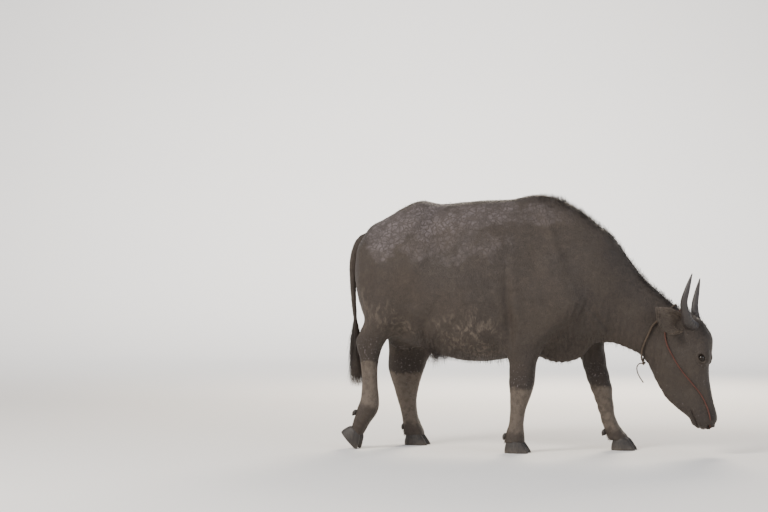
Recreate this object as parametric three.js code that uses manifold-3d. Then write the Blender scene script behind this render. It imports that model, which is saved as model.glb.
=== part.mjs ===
// Water buffalo cow, life size, walking with its head lowered to the ground.
// Millimetres, +Z up. +X runs towards the head, +Y to the animal's left, and the floor is z = 0.
import * as THREE from "three";
import { mergeVertices } from "three/addons/utils/BufferGeometryUtils.js";
import Module from "manifold-3d";

const wasm = await Module();
wasm.setup();

// Driving dimensions
const GAP = 0.35; // clearance between touching pieces
const CENTRE = { x: 44.1, y: 0 }; // middle of the floor box, measured from the shoulder line
const NECK_TURN = THREE.MathUtils.degToRad(4.1); // the neck bends a little to the animal's left
const HEAD_TURN = THREE.MathUtils.degToRad(4);
const HEAD_LEAN = THREE.MathUtils.degToRad(4); // the left horn is held lower than the right
const NECK_ROOT = new THREE.Vector3(300, 0, 880);
const NECK_SLOPE = new THREE.Vector2(0.85, -0.526); // forward and down
const POLL = new THREE.Vector3(861, 40, 661.5);
const HEAD_SLOPE = new THREE.Vector2(0.175, -0.985);
const EYE = { t: 195, r: 33, s: 88, radius: 21 };
const ROPE_RADIUS = 5;
const END_RADIUS = 3;
const NOSE_ROPE_RADIUS = 3.5;
const LAID = 2; // a rope's clearance over the skin it lies on
const LOCK_SEED = 7;

// Colours and finishes
const finish = (color, roughness) => new THREE.MeshStandardMaterial({ color, roughness, metalness: 0 });
const SKIN = finish(0x3b322b, 0.85);
const EAR_SKIN = finish(0x57493c, 0.85);
const HORN = finish(0x3a3330, 0.5);
const HOOF = finish(0x2c2622, 0.6);
const EYEBALL = finish(0x120c08, 0.1);
const HAIR = finish(0x1f1712, 0.9);
const ROPE = finish(0x8a6a4a, 0.95);
const NOSE_ROPE = finish(0x8c4a35, 0.95);

// A repeatable random draw between -1 and 1
let drawn = LOCK_SEED;
function draw() {
  drawn = (drawn * 16807) % 2147483647;
  return (drawn / 2147483647) * 2 - 1;
}

// Solids
function solidFrom(points, faces) {
  const vertProperties = new Float32Array(points.flatMap((p) => [p.x, p.y, p.z]));
  const make = (corners) => {
    const triVerts = new Uint32Array(corners);
    return new wasm.Manifold(new wasm.Mesh({ numProp: 3, vertProperties, triVerts }));
  };
  const made = make(faces);
  if (made.volume() > 0) return made;
  const turned = [...faces];
  for (let i = 0; i < turned.length; i += 3) {
    [turned[i + 1], turned[i + 2]] = [turned[i + 2], turned[i + 1]];
  }
  return make(turned);
}

function solidOf(geometry, matrix = new THREE.Matrix4()) {
  const bare = geometry.clone().deleteAttribute("normal").deleteAttribute("uv").applyMatrix4(matrix);
  const merged = mergeVertices(bare, 1e-3);
  const points = [];
  const at = merged.getAttribute("position");
  for (let i = 0; i < at.count; i++) points.push(new THREE.Vector3().fromBufferAttribute(at, i));
  return solidFrom(points, [...merged.index.array]);
}

const largest = (solid) => solid.decompose().sort((a, b) => b.volume() - a.volume())[0];
const join = (solids) => solids.reduce((all, one) => all.add(one));
const without = (solid, cutters) => cutters.reduce((left, cutter) => left.subtract(cutter), solid);

function meshOf(name, solid, material) {
  const kept = largest(solid);
  const data = kept.getMesh();
  const flat = new Float32Array(data.numVert * 3);
  for (let i = 0; i < data.numVert; i++) {
    flat.set(data.vertProperties.subarray(i * data.numProp, i * data.numProp + 3), i * 3);
  }
  const geometry = new THREE.BufferGeometry();
  geometry.setAttribute("position", new THREE.BufferAttribute(flat, 3));
  geometry.setIndex(new THREE.BufferAttribute(new Uint32Array(data.triVerts), 1));
  geometry.computeVertexNormals();
  const mesh = new THREE.Mesh(geometry, material);
  mesh.name = name;
  return mesh;
}

// The walls between rings of points that all have the same count
function wallFaces(count, sides) {
  const faces = [];
  for (let i = 0; i < count - 1; i++) {
    for (let j = 0; j < sides; j++) {
      const a = i * sides + j;
      const b = i * sides + ((j + 1) % sides);
      faces.push(a, b, b + sides, a, b + sides, a + sides);
    }
  }
  return faces;
}

// A closed skin over rings, with a fan at each end
function ringSolid(rings, start, end) {
  const sides = rings[0].length;
  const middle = (ring) => ring.reduce((sum, p) => sum.add(p), new THREE.Vector3()).divideScalar(sides);
  const points = [...rings.flat(), start ?? middle(rings[0]), end ?? middle(rings[rings.length - 1])];
  const first = points.length - 2;
  const last = points.length - 1;
  const faces = wallFaces(rings.length, sides);
  const top = (rings.length - 1) * sides;
  for (let j = 0; j < sides; j++) {
    faces.push(first, (j + 1) % sides, j, last, top + j, top + ((j + 1) % sides));
  }
  return solidFrom(points, faces);
}

// A curved sheet with thickness: each ring runs out along one face and back along the other
function sheetSolid(rings) {
  const sides = rings[0].length;
  const faces = wallFaces(rings.length, sides);
  const top = (rings.length - 1) * sides;
  for (let k = 0; k < sides / 2 - 1; k++) {
    const across = sides - 1 - k;
    faces.push(k, across, across - 1, k, across - 1, k + 1);
    faces.push(top + k, top + across - 1, top + across, top + k, top + k + 1, top + across - 1);
  }
  return solidFrom(rings.flat(), faces);
}

// Every size of a form at t, on a smooth curve through its stations
function sizesAt(stations, t) {
  const last = stations.length - 1;
  let i = 0;
  while (i < last - 1 && stations[i + 1].t < t) i++;
  const a = stations[Math.max(i - 1, 0)];
  const b = stations[i];
  const c = stations[i + 1];
  const d = stations[Math.min(i + 2, last)];
  const span = c.t - b.t;
  const u = THREE.MathUtils.clamp((t - b.t) / span, 0, 1);
  const out = {};
  for (const key of Object.keys(b)) {
    const leaving = ((c[key] - a[key]) / (c.t - a.t)) * span;
    const arriving = ((d[key] - b[key]) / (d.t - b.t)) * span;
    out[key] =
      b[key] * (2 * u ** 3 - 3 * u ** 2 + 1) +
      leaving * (u ** 3 - 2 * u ** 2 + u) +
      c[key] * (3 * u ** 2 - 2 * u ** 3) +
      arriving * (u ** 3 - u ** 2);
  }
  return out;
}

// A loft along t: sections with an upper and a lower half, widest at mid, and round ends
const CAP_RINGS = 3;
function loft(form, grow = 0) {
  const { stations, axes, sides, rings, capStart = 0, capEnd = 0 } = form;
  const t0 = stations[0].t - grow;
  const t1 = stations[stations.length - 1].t + grow;
  const places = [];
  const inner0 = t0 + capStart;
  const inner1 = t1 - capEnd;
  for (let i = 1; i <= CAP_RINGS && capStart; i++) {
    const bend = (Math.PI / 2) * (i / CAP_RINGS);
    places.push([inner0 - capStart * Math.cos(bend), Math.sin(bend)]);
  }
  for (let i = capStart ? 1 : 0; i <= rings; i++) {
    places.push([inner0 + ((inner1 - inner0) * i) / rings, 1]);
  }
  for (let i = CAP_RINGS - 1; i > 0 && capEnd; i--) {
    const bend = (Math.PI / 2) * (i / CAP_RINGS);
    places.push([inner1 + capEnd * Math.cos(bend), Math.sin(bend)]);
  }
  const bow = (value, power) => Math.sign(value) * Math.abs(value) ** (2 / power);
  const made = places.map(([t, share]) => {
    const z = sizesAt(stations, t);
    return Array.from({ length: sides }, (_, j) => {
      const angle = (2 * Math.PI * j) / sides;
      const power = Math.sin(angle) >= 0 ? z.upperPower : z.lowerPower;
      const reach = (Math.sin(angle) >= 0 ? z.up - z.mid : z.mid - z.down) + grow;
      const r = z.mid + reach * share * bow(Math.sin(angle), power);
      const s = z.side + (z.half + grow) * share * bow(Math.cos(angle), power);
      return new THREE.Vector3(t, r, s).applyMatrix4(axes);
    });
  });
  const pole = (t) => {
    const z = sizesAt(stations, t);
    return new THREE.Vector3(t, z.mid, z.side).applyMatrix4(axes);
  };
  return ringSolid(made, pole(t0), pole(t1));
}

// A tube of varying section along a curve; across says which way its width lies
function sweep(curve, steps, sides, size, across, grow = 0) {
  const rings = [];
  for (let i = 0; i <= steps; i++) {
    const u = i / steps;
    const along = curve.getTangentAt(u);
    const centre = curve.getPointAt(u).addScaledVector(along, i === 0 ? -grow : i === steps ? grow : 0);
    const wide = across.clone().addScaledVector(along, -across.dot(along)).normalize();
    const tall = new THREE.Vector3().crossVectors(along, wide);
    const { width, height } = size(u);
    rings.push(
      Array.from({ length: sides }, (_, j) => {
        const angle = (2 * Math.PI * j) / sides;
        return centre
          .clone()
          .addScaledVector(wide, (width + grow) * Math.cos(angle))
          .addScaledVector(tall, (height + grow) * Math.sin(angle));
      }),
    );
  }
  return ringSolid(rings);
}

const curveThrough = (...points) => new THREE.CatmullRomCurve3(points.map((p) => new THREE.Vector3(...p)));

// An egg shape with its own turn
function egg(centre, radii, detail = 16, turn = new THREE.Euler()) {
  const place = new THREE.Matrix4().compose(centre, new THREE.Quaternion().setFromEuler(turn), radii);
  return solidOf(new THREE.SphereGeometry(1, detail, Math.round(detail * 0.65)), place);
}

// The three axes of a form: along it, up from it, and to the animal's left
function axesFor(origin, slope, turn) {
  const along = new THREE.Vector3(slope.x * Math.cos(turn), slope.x * Math.sin(turn), slope.y);
  const up = new THREE.Vector3(-slope.y * Math.cos(turn), -slope.y * Math.sin(turn), slope.x);
  const left = new THREE.Vector3(-Math.sin(turn), Math.cos(turn), 0);
  return new THREE.Matrix4().makeBasis(along, up, left).setPosition(origin);
}
const BODY_AXES = axesFor(new THREE.Vector3(), new THREE.Vector2(1, 0), 0);
const NECK_AXES = axesFor(NECK_ROOT, NECK_SLOPE, NECK_TURN);
const HEAD_AXES = axesFor(POLL, HEAD_SLOPE, HEAD_TURN);
HEAD_AXES.multiply(new THREE.Matrix4().makeRotationY(HEAD_LEAN));
// A leg is stationed by its height, with its front upwards in the section
const LEG_AXES = new THREE.Matrix4().makeBasis(
  new THREE.Vector3(0, 0, 1),
  new THREE.Vector3(1, 0, 0),
  new THREE.Vector3(0, 1, 0),
);

// Torso: back line, widest level and belly line at each x
const TORSO = {
  axes: BODY_AXES,
  sides: 32,
  rings: 18,
  capStart: 110,
  capEnd: 120,
  stations: [
    { t: -868, down: 700, mid: 900, up: 1075, half: 150, upperPower: 2.1, lowerPower: 2.1 },
    { t: -790, down: 620, mid: 915, up: 1140, half: 205, upperPower: 2.0, lowerPower: 2.1 },
    { t: -700, down: 570, mid: 930, up: 1186, half: 230, upperPower: 1.9, lowerPower: 2.1 },
    { t: -600, down: 535, mid: 930, up: 1244, half: 246, upperPower: 1.8, lowerPower: 2.1 },
    { t: -518, down: 512, mid: 900, up: 1273, half: 258, upperPower: 1.75, lowerPower: 2.1 },
    { t: -410, down: 476, mid: 830, up: 1257, half: 276, upperPower: 1.75, lowerPower: 2.1 },
    { t: -290, down: 450, mid: 780, up: 1265, half: 290, upperPower: 1.8, lowerPower: 2.1 },
    { t: -170, down: 447, mid: 760, up: 1274, half: 292, upperPower: 1.8, lowerPower: 2.1 },
    { t: -50, down: 463, mid: 765, up: 1276, half: 274, upperPower: 1.75, lowerPower: 2.1 },
    { t: 70, down: 487, mid: 790, up: 1298, half: 246, upperPower: 1.6, lowerPower: 2.1 },
    { t: 150, down: 505, mid: 800, up: 1291, half: 228, upperPower: 1.55, lowerPower: 2.0 },
    { t: 220, down: 520, mid: 805, up: 1267, half: 212, upperPower: 1.6, lowerPower: 2.0 },
    { t: 300, down: 535, mid: 810, up: 1224, half: 195, upperPower: 1.7, lowerPower: 2.0 },
    { t: 380, down: 552, mid: 815, up: 1163, half: 170, upperPower: 1.8, lowerPower: 2.0 },
    { t: 470, down: 585, mid: 820, up: 1075, half: 140, upperPower: 2.0, lowerPower: 2.0 },
    { t: 560, down: 640, mid: 820, up: 960, half: 110, upperPower: 2.0, lowerPower: 2.0 },
  ].map((row) => ({ ...row, side: 0 })),
};

// Brisket: the fold that hangs between the forelegs
const BRISKET = { centre: new THREE.Vector3(212, 0, 545), radii: new THREE.Vector3(150, 86, 101) };

// Neck: reach above and below its own axis
const NECK = {
  axes: NECK_AXES,
  sides: 24,
  rings: 10,
  capStart: 60,
  capEnd: 60,
  stations: [
    { t: -90, down: -250, mid: -30, up: 170, half: 130, upperPower: 1.8 },
    { t: 0, down: -305, mid: -30, up: 250, half: 172, upperPower: 1.7 },
    { t: 90, down: -290, mid: -30, up: 243, half: 162, upperPower: 1.8 },
    { t: 190, down: -238, mid: -25, up: 206, half: 138, upperPower: 1.9 },
    { t: 280, down: -203, mid: -25, up: 174, half: 120, upperPower: 1.9 },
    { t: 380, down: -178, mid: -25, up: 152, half: 108, upperPower: 1.9 },
    { t: 470, down: -166, mid: -22, up: 138, half: 102, upperPower: 1.9 },
    { t: 560, down: -150, mid: -8, up: 137, half: 96, upperPower: 2 },
    { t: 650, down: -110, mid: 5, up: 128, half: 84, upperPower: 2 },
  ].map((row) => ({ ...row, side: 0, lowerPower: 2 })),
};

// Head: reach to the face and to the jaw from its own axis, poll at t = 0
const HEAD = {
  axes: HEAD_AXES,
  sides: 26,
  rings: 15,
  capStart: 55,
  capEnd: 42,
  stations: [
    { t: -40, down: -90, mid: -8, up: 30, half: 80, upperPower: 2.2 },
    { t: 30, down: -170, mid: -8, up: 71, half: 96, upperPower: 2.3 },
    { t: 95, down: -244, mid: -8, up: 96, half: 101, upperPower: 2.4 },
    { t: 150, down: -250, mid: -12, up: 87, half: 100, upperPower: 2.5 },
    { t: 200, down: -238, mid: -20, up: 70, half: 95, upperPower: 2.6 },
    { t: 245, down: -227, mid: -38, up: 54, half: 86, upperPower: 2.7 },
    { t: 300, down: -209, mid: -50, up: 47, half: 74, upperPower: 2.8 },
    { t: 360, down: -184, mid: -45, up: 46, half: 64, upperPower: 2.9 },
    { t: 420, down: -139, mid: -32, up: 47, half: 60, upperPower: 2.8 },
    { t: 470, down: -93, mid: -18, up: 51, half: 64, upperPower: 2.6 },
    { t: 510, down: -80, mid: -14, up: 47, half: 67, upperPower: 2.5 },
    { t: 545, down: -58, mid: -14, up: 30, half: 62, upperPower: 2.3 },
  ].map((row) => ({ ...row, side: 0, lowerPower: 2 })),
};

// Legs: front and back edge, middle and half width at each height
function legForm(rows, sides = 14) {
  const stations = rows.map(([t, back, front, side, half]) => ({
    t,
    down: back,
    mid: (back + front) / 2,
    up: front,
    half,
    side,
    upperPower: 2.1,
    lowerPower: 2.1,
  }));
  return { axes: LEG_AXES, sides, rings: 17, capEnd: 90, stations };
}

// Rows are height, back edge, front edge, middle and half width
const LEGS = {
  front_right: legForm([
    [42, -46, 62, -160, 47],
    [75, -40, 62, -160, 44],
    [105, -32, 60, -160, 41],
    [150, -18, 57, -160, 34],
    [220, -14, 70, -160, 34],
    [290, -14, 96, -161, 43],
    [345, -18, 112, -162, 48],
    [400, -17, 119, -163, 49],
    [464, -20, 130, -165, 54],
    [540, -50, 170, -163, 66],
    [610, -62, 240, -158, 77],
    [700, -35, 330, -155, 82],
    [800, 10, 350, -150, 80],
    [900, 70, 330, -140, 74],
    [1030, 110, 290, -115, 60],
  ]),
  front_left: legForm([
    [42, 428, 540, 158, 47],
    [75, 414, 520, 158, 44],
    [110, 399, 490, 158, 41],
    [160, 384, 464, 158, 34],
    [230, 362, 451, 158, 35],
    [300, 336, 446, 159, 44],
    [355, 314, 434, 160, 48],
    [410, 296, 420, 162, 49],
    [469, 274, 409, 164, 54],
    [545, 215, 404, 162, 66],
    [615, 130, 418, 158, 77],
    [700, 75, 432, 155, 82],
    [800, 65, 425, 150, 80],
    [900, 85, 385, 140, 74],
    [1030, 120, 310, 115, 60],
  ]),
  hind_left: legForm([
    [42, -655, -545, 150, 47],
    [75, -662, -552, 150, 44],
    [110, -664, -568, 150, 41],
    [160, -672, -584, 150, 34],
    [230, -692, -590, 150, 35],
    [300, -714, -578, 150, 39],
    [355, -733, -562, 151, 44],
    [405, -745, -545, 152, 48],
    [450, -744, -528, 153, 52],
    [520, -742, -492, 153, 70],
    [600, -755, -462, 152, 88],
    [700, -775, -440, 150, 104],
    [820, -795, -430, 142, 116],
    [940, -800, -450, 128, 116],
    [1080, -770, -500, 105, 95],
  ]),
  hind_right: legForm([
    [62, -850, -792, -155, 38],
    [100, -850, -770, -155, 40],
    [135, -840, -748, -155, 41],
    [172, -828, -720, -155, 43],
    [212, -815, -704, -155, 43],
    [252, -800, -702, -155, 38],
    [320, -793, -708, -155, 33],
    [400, -795, -710, -155, 35],
    [460, -802, -703, -156, 40],
    [515, -817, -686, -156, 46],
    [555, -822, -662, -156, 52],
    [600, -800, -625, -155, 64],
    [660, -778, -560, -154, 84],
    [740, -782, -492, -151, 104],
    [840, -800, -450, -142, 116],
    [950, -800, -455, -128, 116],
    [1080, -770, -500, -105, 95],
  ]),
};

// Where each leg is parted from the torso: a sloping cut that rises outwards
const LEG_CUTS = {
  front_right: { x: [-140, 250], inner: -92, outer: -420, innerZ: 500, outerZ: 740 },
  front_left: { x: [140, 505], inner: 92, outer: 420, innerZ: 500, outerZ: 740 },
  hind_left: { x: [-900, -430], inner: 66, outer: 420, innerZ: 540, outerZ: 800 },
  hind_right: { x: [-900, -440], inner: -66, outer: -420, innerZ: 560, outerZ: 820 },
};

function legCutter({ x, inner, outer, innerZ, outerZ }, grow = 0) {
  const sign = Math.sign(outer);
  const outline = new THREE.Shape([
    new THREE.Vector2(inner - sign * grow, -200),
    new THREE.Vector2(outer, -200),
    new THREE.Vector2(outer, outerZ + grow),
    new THREE.Vector2(inner - sign * grow, innerZ + grow),
  ]);
  const length = x[1] - x[0] + 2 * grow;
  const block = new THREE.ExtrudeGeometry(outline, { depth: length, bevelEnabled: false });
  const place = new THREE.Matrix4()
    .makeBasis(new THREE.Vector3(0, 1, 0), new THREE.Vector3(0, 0, 1), new THREE.Vector3(1, 0, 0))
    .setPosition(x[0] - grow, 0, 0);
  return solidOf(block, place);
}

// A block that fills everything on the far side of a plane
function halfSpace(point, normal, shift = 0) {
  const size = 4000;
  const along = normal.clone().normalize();
  const turn = new THREE.Quaternion().setFromUnitVectors(new THREE.Vector3(0, 0, 1), along);
  const centre = point.clone().addScaledVector(along, size / 2 + shift);
  const place = new THREE.Matrix4().compose(centre, turn, new THREE.Vector3(1, 1, 1));
  return solidOf(new THREE.BoxGeometry(size, size, size), place);
}

// Claws: two to a foot, each stationed by height above its sole
const CLAW_SPREAD = 30.5;
const CLAW_TURN = THREE.MathUtils.degToRad(4);
const CLAW = {
  axes: LEG_AXES,
  sides: 12,
  rings: 4,
  capEnd: 22,
  stations: [
    { t: 0, down: -54, mid: 2, up: 68, half: 28 },
    { t: 14, down: -55, mid: 2, up: 62, half: 28 },
    { t: 34, down: -52, mid: 0, up: 49, half: 26.5 },
    { t: 54, down: -46, mid: -4, up: 35, half: 24 },
    { t: 74, down: -36, mid: -6, up: 18, half: 19 },
  ].map((row) => ({ ...row, side: 0, upperPower: 1.8, lowerPower: 2.3 })),
};
const DEWCLAW = { radii: new THREE.Vector3(11, 13, 19), spread: 24, tilt: 18, pitchShare: 0.35 };

// Feet: middle of the sole, heading, pitch of the sole, and where the dewclaws sit
const FEET = {
  front_right: { sole: [20, -160, 0], pitch: 0, dewclaws: [-36, 82] },
  front_left: { sole: [499, 158, 0], pitch: 0, dewclaws: [404, 88] },
  hind_left: { sole: [-592, 150, 0], pitch: 0, dewclaws: [-656, 96] },
  hind_right: { sole: [-858, -155, 46], pitch: 48, dewclaws: [-826, 184] },
};

function footFrame({ sole, pitch }) {
  const turn = new THREE.Euler(0, THREE.MathUtils.degToRad(pitch), 0);
  return new THREE.Matrix4().compose(
    new THREE.Vector3(...sole),
    new THREE.Quaternion().setFromEuler(turn),
    new THREE.Vector3(1, 1, 1),
  );
}

function claw(foot, side, grow = 0) {
  const place = new THREE.Matrix4().makeRotationZ(side * CLAW_TURN).setPosition(0, side * CLAW_SPREAD, 0);
  const axes = footFrame(foot).multiply(place).multiply(LEG_AXES);
  const floor = halfSpace(new THREE.Vector3(), new THREE.Vector3(0, 0, -1));
  return loft({ ...CLAW, axes }, grow).subtract(floor);
}

function dewclaw(foot, side, grow = 0) {
  const [x, z] = foot.dewclaws;
  const centre = new THREE.Vector3(x, foot.sole[1] + side * DEWCLAW.spread, z);
  const tilt = THREE.MathUtils.degToRad(DEWCLAW.tilt + foot.pitch * DEWCLAW.pitchShare);
  const turn = new THREE.Euler(0, tilt, 0);
  return egg(centre, DEWCLAW.radii.clone().addScalar(grow), 8, turn);
}

// Horns: a crescent out of the side of the poll, in the head's own frame (t, r, s)
const HORN_FORM = { steps: 15, sides: 10, flatness: 0.82, across: new THREE.Vector3(0.3, 1, 0) };
const HORN_BACK = { right: -8, left: 7 }; // the right horn lies a little further back
// Half width at each share of the length
const HORN_GIRTH = [
  [0, 37],
  [0.26, 30],
  [0.42, 22],
  [0.55, 18.5],
  [0.67, 16],
  [0.78, 13],
  [0.89, 8.5],
  [1, 2.5],
].map(([t, width]) => ({ t, width }));
function horn(side, grow = 0) {
  const back = side < 0 ? HORN_BACK.right : HORN_BACK.left;
  const curve = curveThrough(
    [46, 26, side * 50],
    [12, 8 + back, side * 128],
    [-32, 7 + back, side * 172],
    [-82, 10 + back, side * 196],
    [-140, 32 + back / 2, side * 206],
    [-216, 66, side * 202],
  );
  const size = (u) => {
    const { width } = sizesAt(HORN_GIRTH, u);
    return { width, height: width * HORN_FORM.flatness };
  };
  return sweep(curve, HORN_FORM.steps, HORN_FORM.sides, size, HORN_FORM.across, grow);
}

// Ears: a leaf-shaped cup that opens forwards, in the head's own frame
const EAR = {
  thickness: 7,
  width: 72,
  rings: 9,
  arc: 5,
  sag: 26,
  root: [22, -26, 72],
  tip: [-82, -135, 222],
  rootShare: 0.3, // width at the root
  rootCup: 1.45, // half angle of the cup in radians, at the root and at the tip
  tipCup: 0.5,
};
function ear(side, grow = 0) {
  const sided = new THREE.Vector3(1, 1, side);
  const root = new THREE.Vector3(...EAR.root).multiply(sided);
  const tip = new THREE.Vector3(...EAR.tip).multiply(sided);
  const along = tip.clone().sub(root).normalize();
  const across = new THREE.Vector3(1, 0, 0).addScaledVector(along, -along.x).normalize();
  const open = new THREE.Vector3().crossVectors(along, across).multiplyScalar(side);
  const rings = [];
  for (let i = 0; i <= EAR.rings; i++) {
    const u = i / EAR.rings;
    const leaf = EAR.rootShare + (1 - EAR.rootShare) * Math.sin(Math.PI * (0.06 + 0.94 * u) ** 1.1);
    const half = EAR.width * leaf * Math.sqrt(1.02 - u ** 6);
    const cup = THREE.MathUtils.lerp(EAR.rootCup, EAR.tipCup, Math.min(1, u * 1.25));
    const radius = half / Math.sin(cup);
    const spread = cup + grow / radius;
    const centre = root.clone().lerp(tip, u).addScaledVector(across, EAR.sag * Math.sin(Math.PI * u));
    if (i === 0) centre.addScaledVector(along, -grow);
    const at = (angle, r) =>
      centre
        .clone()
        .addScaledVector(across, r * Math.sin(angle))
        .addScaledVector(open, radius * 0.7 - r * Math.cos(angle));
    const wall = Math.min(EAR.thickness * (1 - 0.4 * u), radius * 0.5);
    const ring = [];
    const angleAt = (k) => -spread + (2 * spread * k) / EAR.arc;
    for (let k = 0; k <= EAR.arc; k++) ring.push(at(angleAt(k), radius + grow));
    for (let k = EAR.arc; k >= 0; k--) ring.push(at(angleAt(k), radius - wall - grow));
    rings.push(ring);
  }
  return sheetSolid(rings);
}

// Eyes sit in lids: a shell of skin over the ball with an almond opening
const eyePlace = (side) => new THREE.Vector3(EYE.t, EYE.r, side * EYE.s);
const uniform = (r) => new THREE.Vector3(r, r, r);
const LIDS = {
  radii: new THREE.Vector3(31, 26, 25),
  opening: new THREE.Vector3(19, 11.5, 15),
  turn: new THREE.Euler(0, 0, 0.3),
};
const BROW = { shift: [-12, 5, -12], radii: new THREE.Vector3(52, 38, 33) };
function orbit(side) {
  const [t, r, s] = BROW.shift;
  const brow = egg(new THREE.Vector3(EYE.t + t, EYE.r + r, side * (EYE.s + s)), BROW.radii, 12);
  return brow.add(egg(eyePlace(side), LIDS.radii, 12));
}
function lidOpening(side) {
  const front = new THREE.Vector3(EYE.t + 1, EYE.r + 2, side * (EYE.s + EYE.radius + 4));
  return egg(front, LIDS.opening, 10, LIDS.turn);
}

// Where a line from the head's axis leaves a solid: used to lay lips and ropes on the skin
function surfaceFinder(solid, axes) {
  const mesh = meshOf("probe", solid, SKIN);
  mesh.material = new THREE.MeshBasicMaterial({ side: THREE.DoubleSide });
  mesh.updateMatrixWorld(true);
  return (t, r, s, direction) => {
    const from = new THREE.Vector3(t, r, s).applyMatrix4(axes);
    const towards = direction.clone().transformDirection(axes);
    const hits = new THREE.Raycaster(from, towards).intersectObject(mesh);
    return hits.length ? hits[0].point : from;
  };
}

// Mouth: a groove round the muzzle with a lip above and below it
const MOUTH = {
  corner: 428,
  reach: 40,
  level: -40,
  cornerLevel: -66,
  groove: 3,
  lip: 6.5,
  lipOffset: 8,
  lipSink: -2.5,
  steps: 12,
};
function mouthCurve(find, offset, lift) {
  const points = [];
  for (let i = 0; i <= MOUTH.steps; i++) {
    const u = (2 * i) / MOUTH.steps - 1;
    const round = (Math.PI / 2) * u;
    const level = THREE.MathUtils.lerp(MOUTH.level, MOUTH.cornerLevel, u * u) + offset;
    const sideways = new THREE.Vector3(Math.cos(round) * 1.15, 0, Math.sin(round));
    const start = MOUTH.corner + MOUTH.reach * (1 - u * u);
    const hit = find(start, level, 0, sideways).applyMatrix4(HEAD_AXES.clone().invert());
    const outward = new THREE.Vector3(Math.cos(round), 0, Math.sin(round));
    points.push(hit.addScaledVector(outward, lift));
  }
  return new THREE.CatmullRomCurve3(points);
}

// A flat, tapered lock of hair that bends as it falls
function lock(root, direction, bend, length, width) {
  const tip = root.clone().addScaledVector(direction, length).add(bend);
  const middle = root.clone().addScaledVector(direction, length * 0.5).addScaledVector(bend, 0.25);
  const curve = new THREE.CatmullRomCurve3([root, middle, tip]);
  const size = (u) => ({ width: width * (1 - 0.9 * u ** 1.6), height: width * 0.38 * (1 - 0.85 * u) });
  return sweep(curve, 3, 5, size, new THREE.Vector3(draw(), 1, draw() * 0.3));
}

// Tail: a tapering dock from the top of the rump, then the switch
const TAIL_CURVE = curveThrough(
  [-790, 0, 1085],
  [-848, 0, 1058],
  [-884, 2, 975],
  [-893, 6, 860],
  [-888, 12, 720],
  [-880, 18, 600],
  [-876, 22, 520],
);
function tail(grow = 0) {
  const size = (u) => {
    const radius = THREE.MathUtils.lerp(38, 13, Math.min(1, u * 1.25) ** 0.7);
    return { width: radius, height: radius * 0.85 };
  };
  return sweep(TAIL_CURVE, 16, 10, size, new THREE.Vector3(0, 1, 0), grow);
}
const SWITCH = { locks: 9, length: 175, core: 110, width: 11 };
function tailSwitch() {
  const top = TAIL_CURVE.getPointAt(1).add(new THREE.Vector3(0, 0, -GAP));
  const end = top.clone().add(new THREE.Vector3(4, 6, -SWITCH.core));
  const size = (u) => {
    const swell = 6 * Math.sin(Math.PI * u);
    return { width: 13 + swell - 9 * u, height: 11 + swell - 7 * u };
  };
  const core = sweep(new THREE.CatmullRomCurve3([top, end]), 6, 8, size, new THREE.Vector3(0, 1, 0));
  const locks = Array.from({ length: SWITCH.locks }, (_, i) => {
    const u = 0.12 + (0.8 * i) / SWITCH.locks;
    const turn = i * 2.4;
    const out = new THREE.Vector3(Math.cos(turn), Math.sin(turn), 0);
    const root = top.clone().lerp(end, u).addScaledVector(out, 6);
    const direction = new THREE.Vector3(0, 0.02, -1).addScaledVector(out, 0.2 + 0.06 * draw()).normalize();
    const bend = out.clone().multiplyScalar(-12 + 8 * draw());
    return lock(root, direction, bend, SWITCH.length * (0.78 + 0.2 * draw()), SWITCH.width);
  });
  return join([core, ...locks]).subtract(halfSpace(top, new THREE.Vector3(0, 0, 1)));
}

// Udder between the thighs
function udder() {
  const bag = egg(new THREE.Vector3(-610, 0, 560), new THREE.Vector3(92, 58, 62), 12);
  const teats = [-1, 1].flatMap((side) =>
    [-640, -575].map((x) => egg(new THREE.Vector3(x, side * 27, 504), new THREE.Vector3(9, 9, 22), 7)),
  );
  return join([bag, ...teats]);
}

// Flesh
const flesh = join([
  loft(TORSO),
  egg(BRISKET.centre, BRISKET.radii, 16),
  loft(NECK),
  loft(HEAD),
  ...[-1, 1].map((side) => orbit(side).transform(HEAD_AXES.toArray())),
  ...Object.values(LEGS).map((form) => loft(form)),
]);

const legSolids = {};
let trunk = flesh;
for (const [name, cut] of Object.entries(LEG_CUTS)) {
  legSolids[name] = largest(flesh.intersect(legCutter(cut)));
  trunk = trunk.subtract(legCutter(cut, GAP));
}
trunk = largest(trunk);

// The trunk is parted into torso, neck and head by two planes
const NECK_CUT = { point: new THREE.Vector3(512, 0, 700), normal: new THREE.Vector3(1, 0.1, 0.12) };
const NAPE_CUT = {
  point: new THREE.Vector3(-30, -30, 0).applyMatrix4(HEAD_AXES),
  normal: new THREE.Vector3(0.842, 0.539, 0).transformDirection(HEAD_AXES),
};
const beyond = ({ point, normal }, shift = 0) => halfSpace(point, normal, shift);
const torsoSolid = largest(trunk.subtract(beyond(NECK_CUT)));
const neckSolid = largest(trunk.intersect(beyond(NECK_CUT, GAP)).subtract(beyond(NAPE_CUT)));
const toHead = HEAD_AXES.clone().invert();
const bareHead = largest(trunk.intersect(beyond(NAPE_CUT, GAP))).transform(toHead.toArray());

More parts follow.
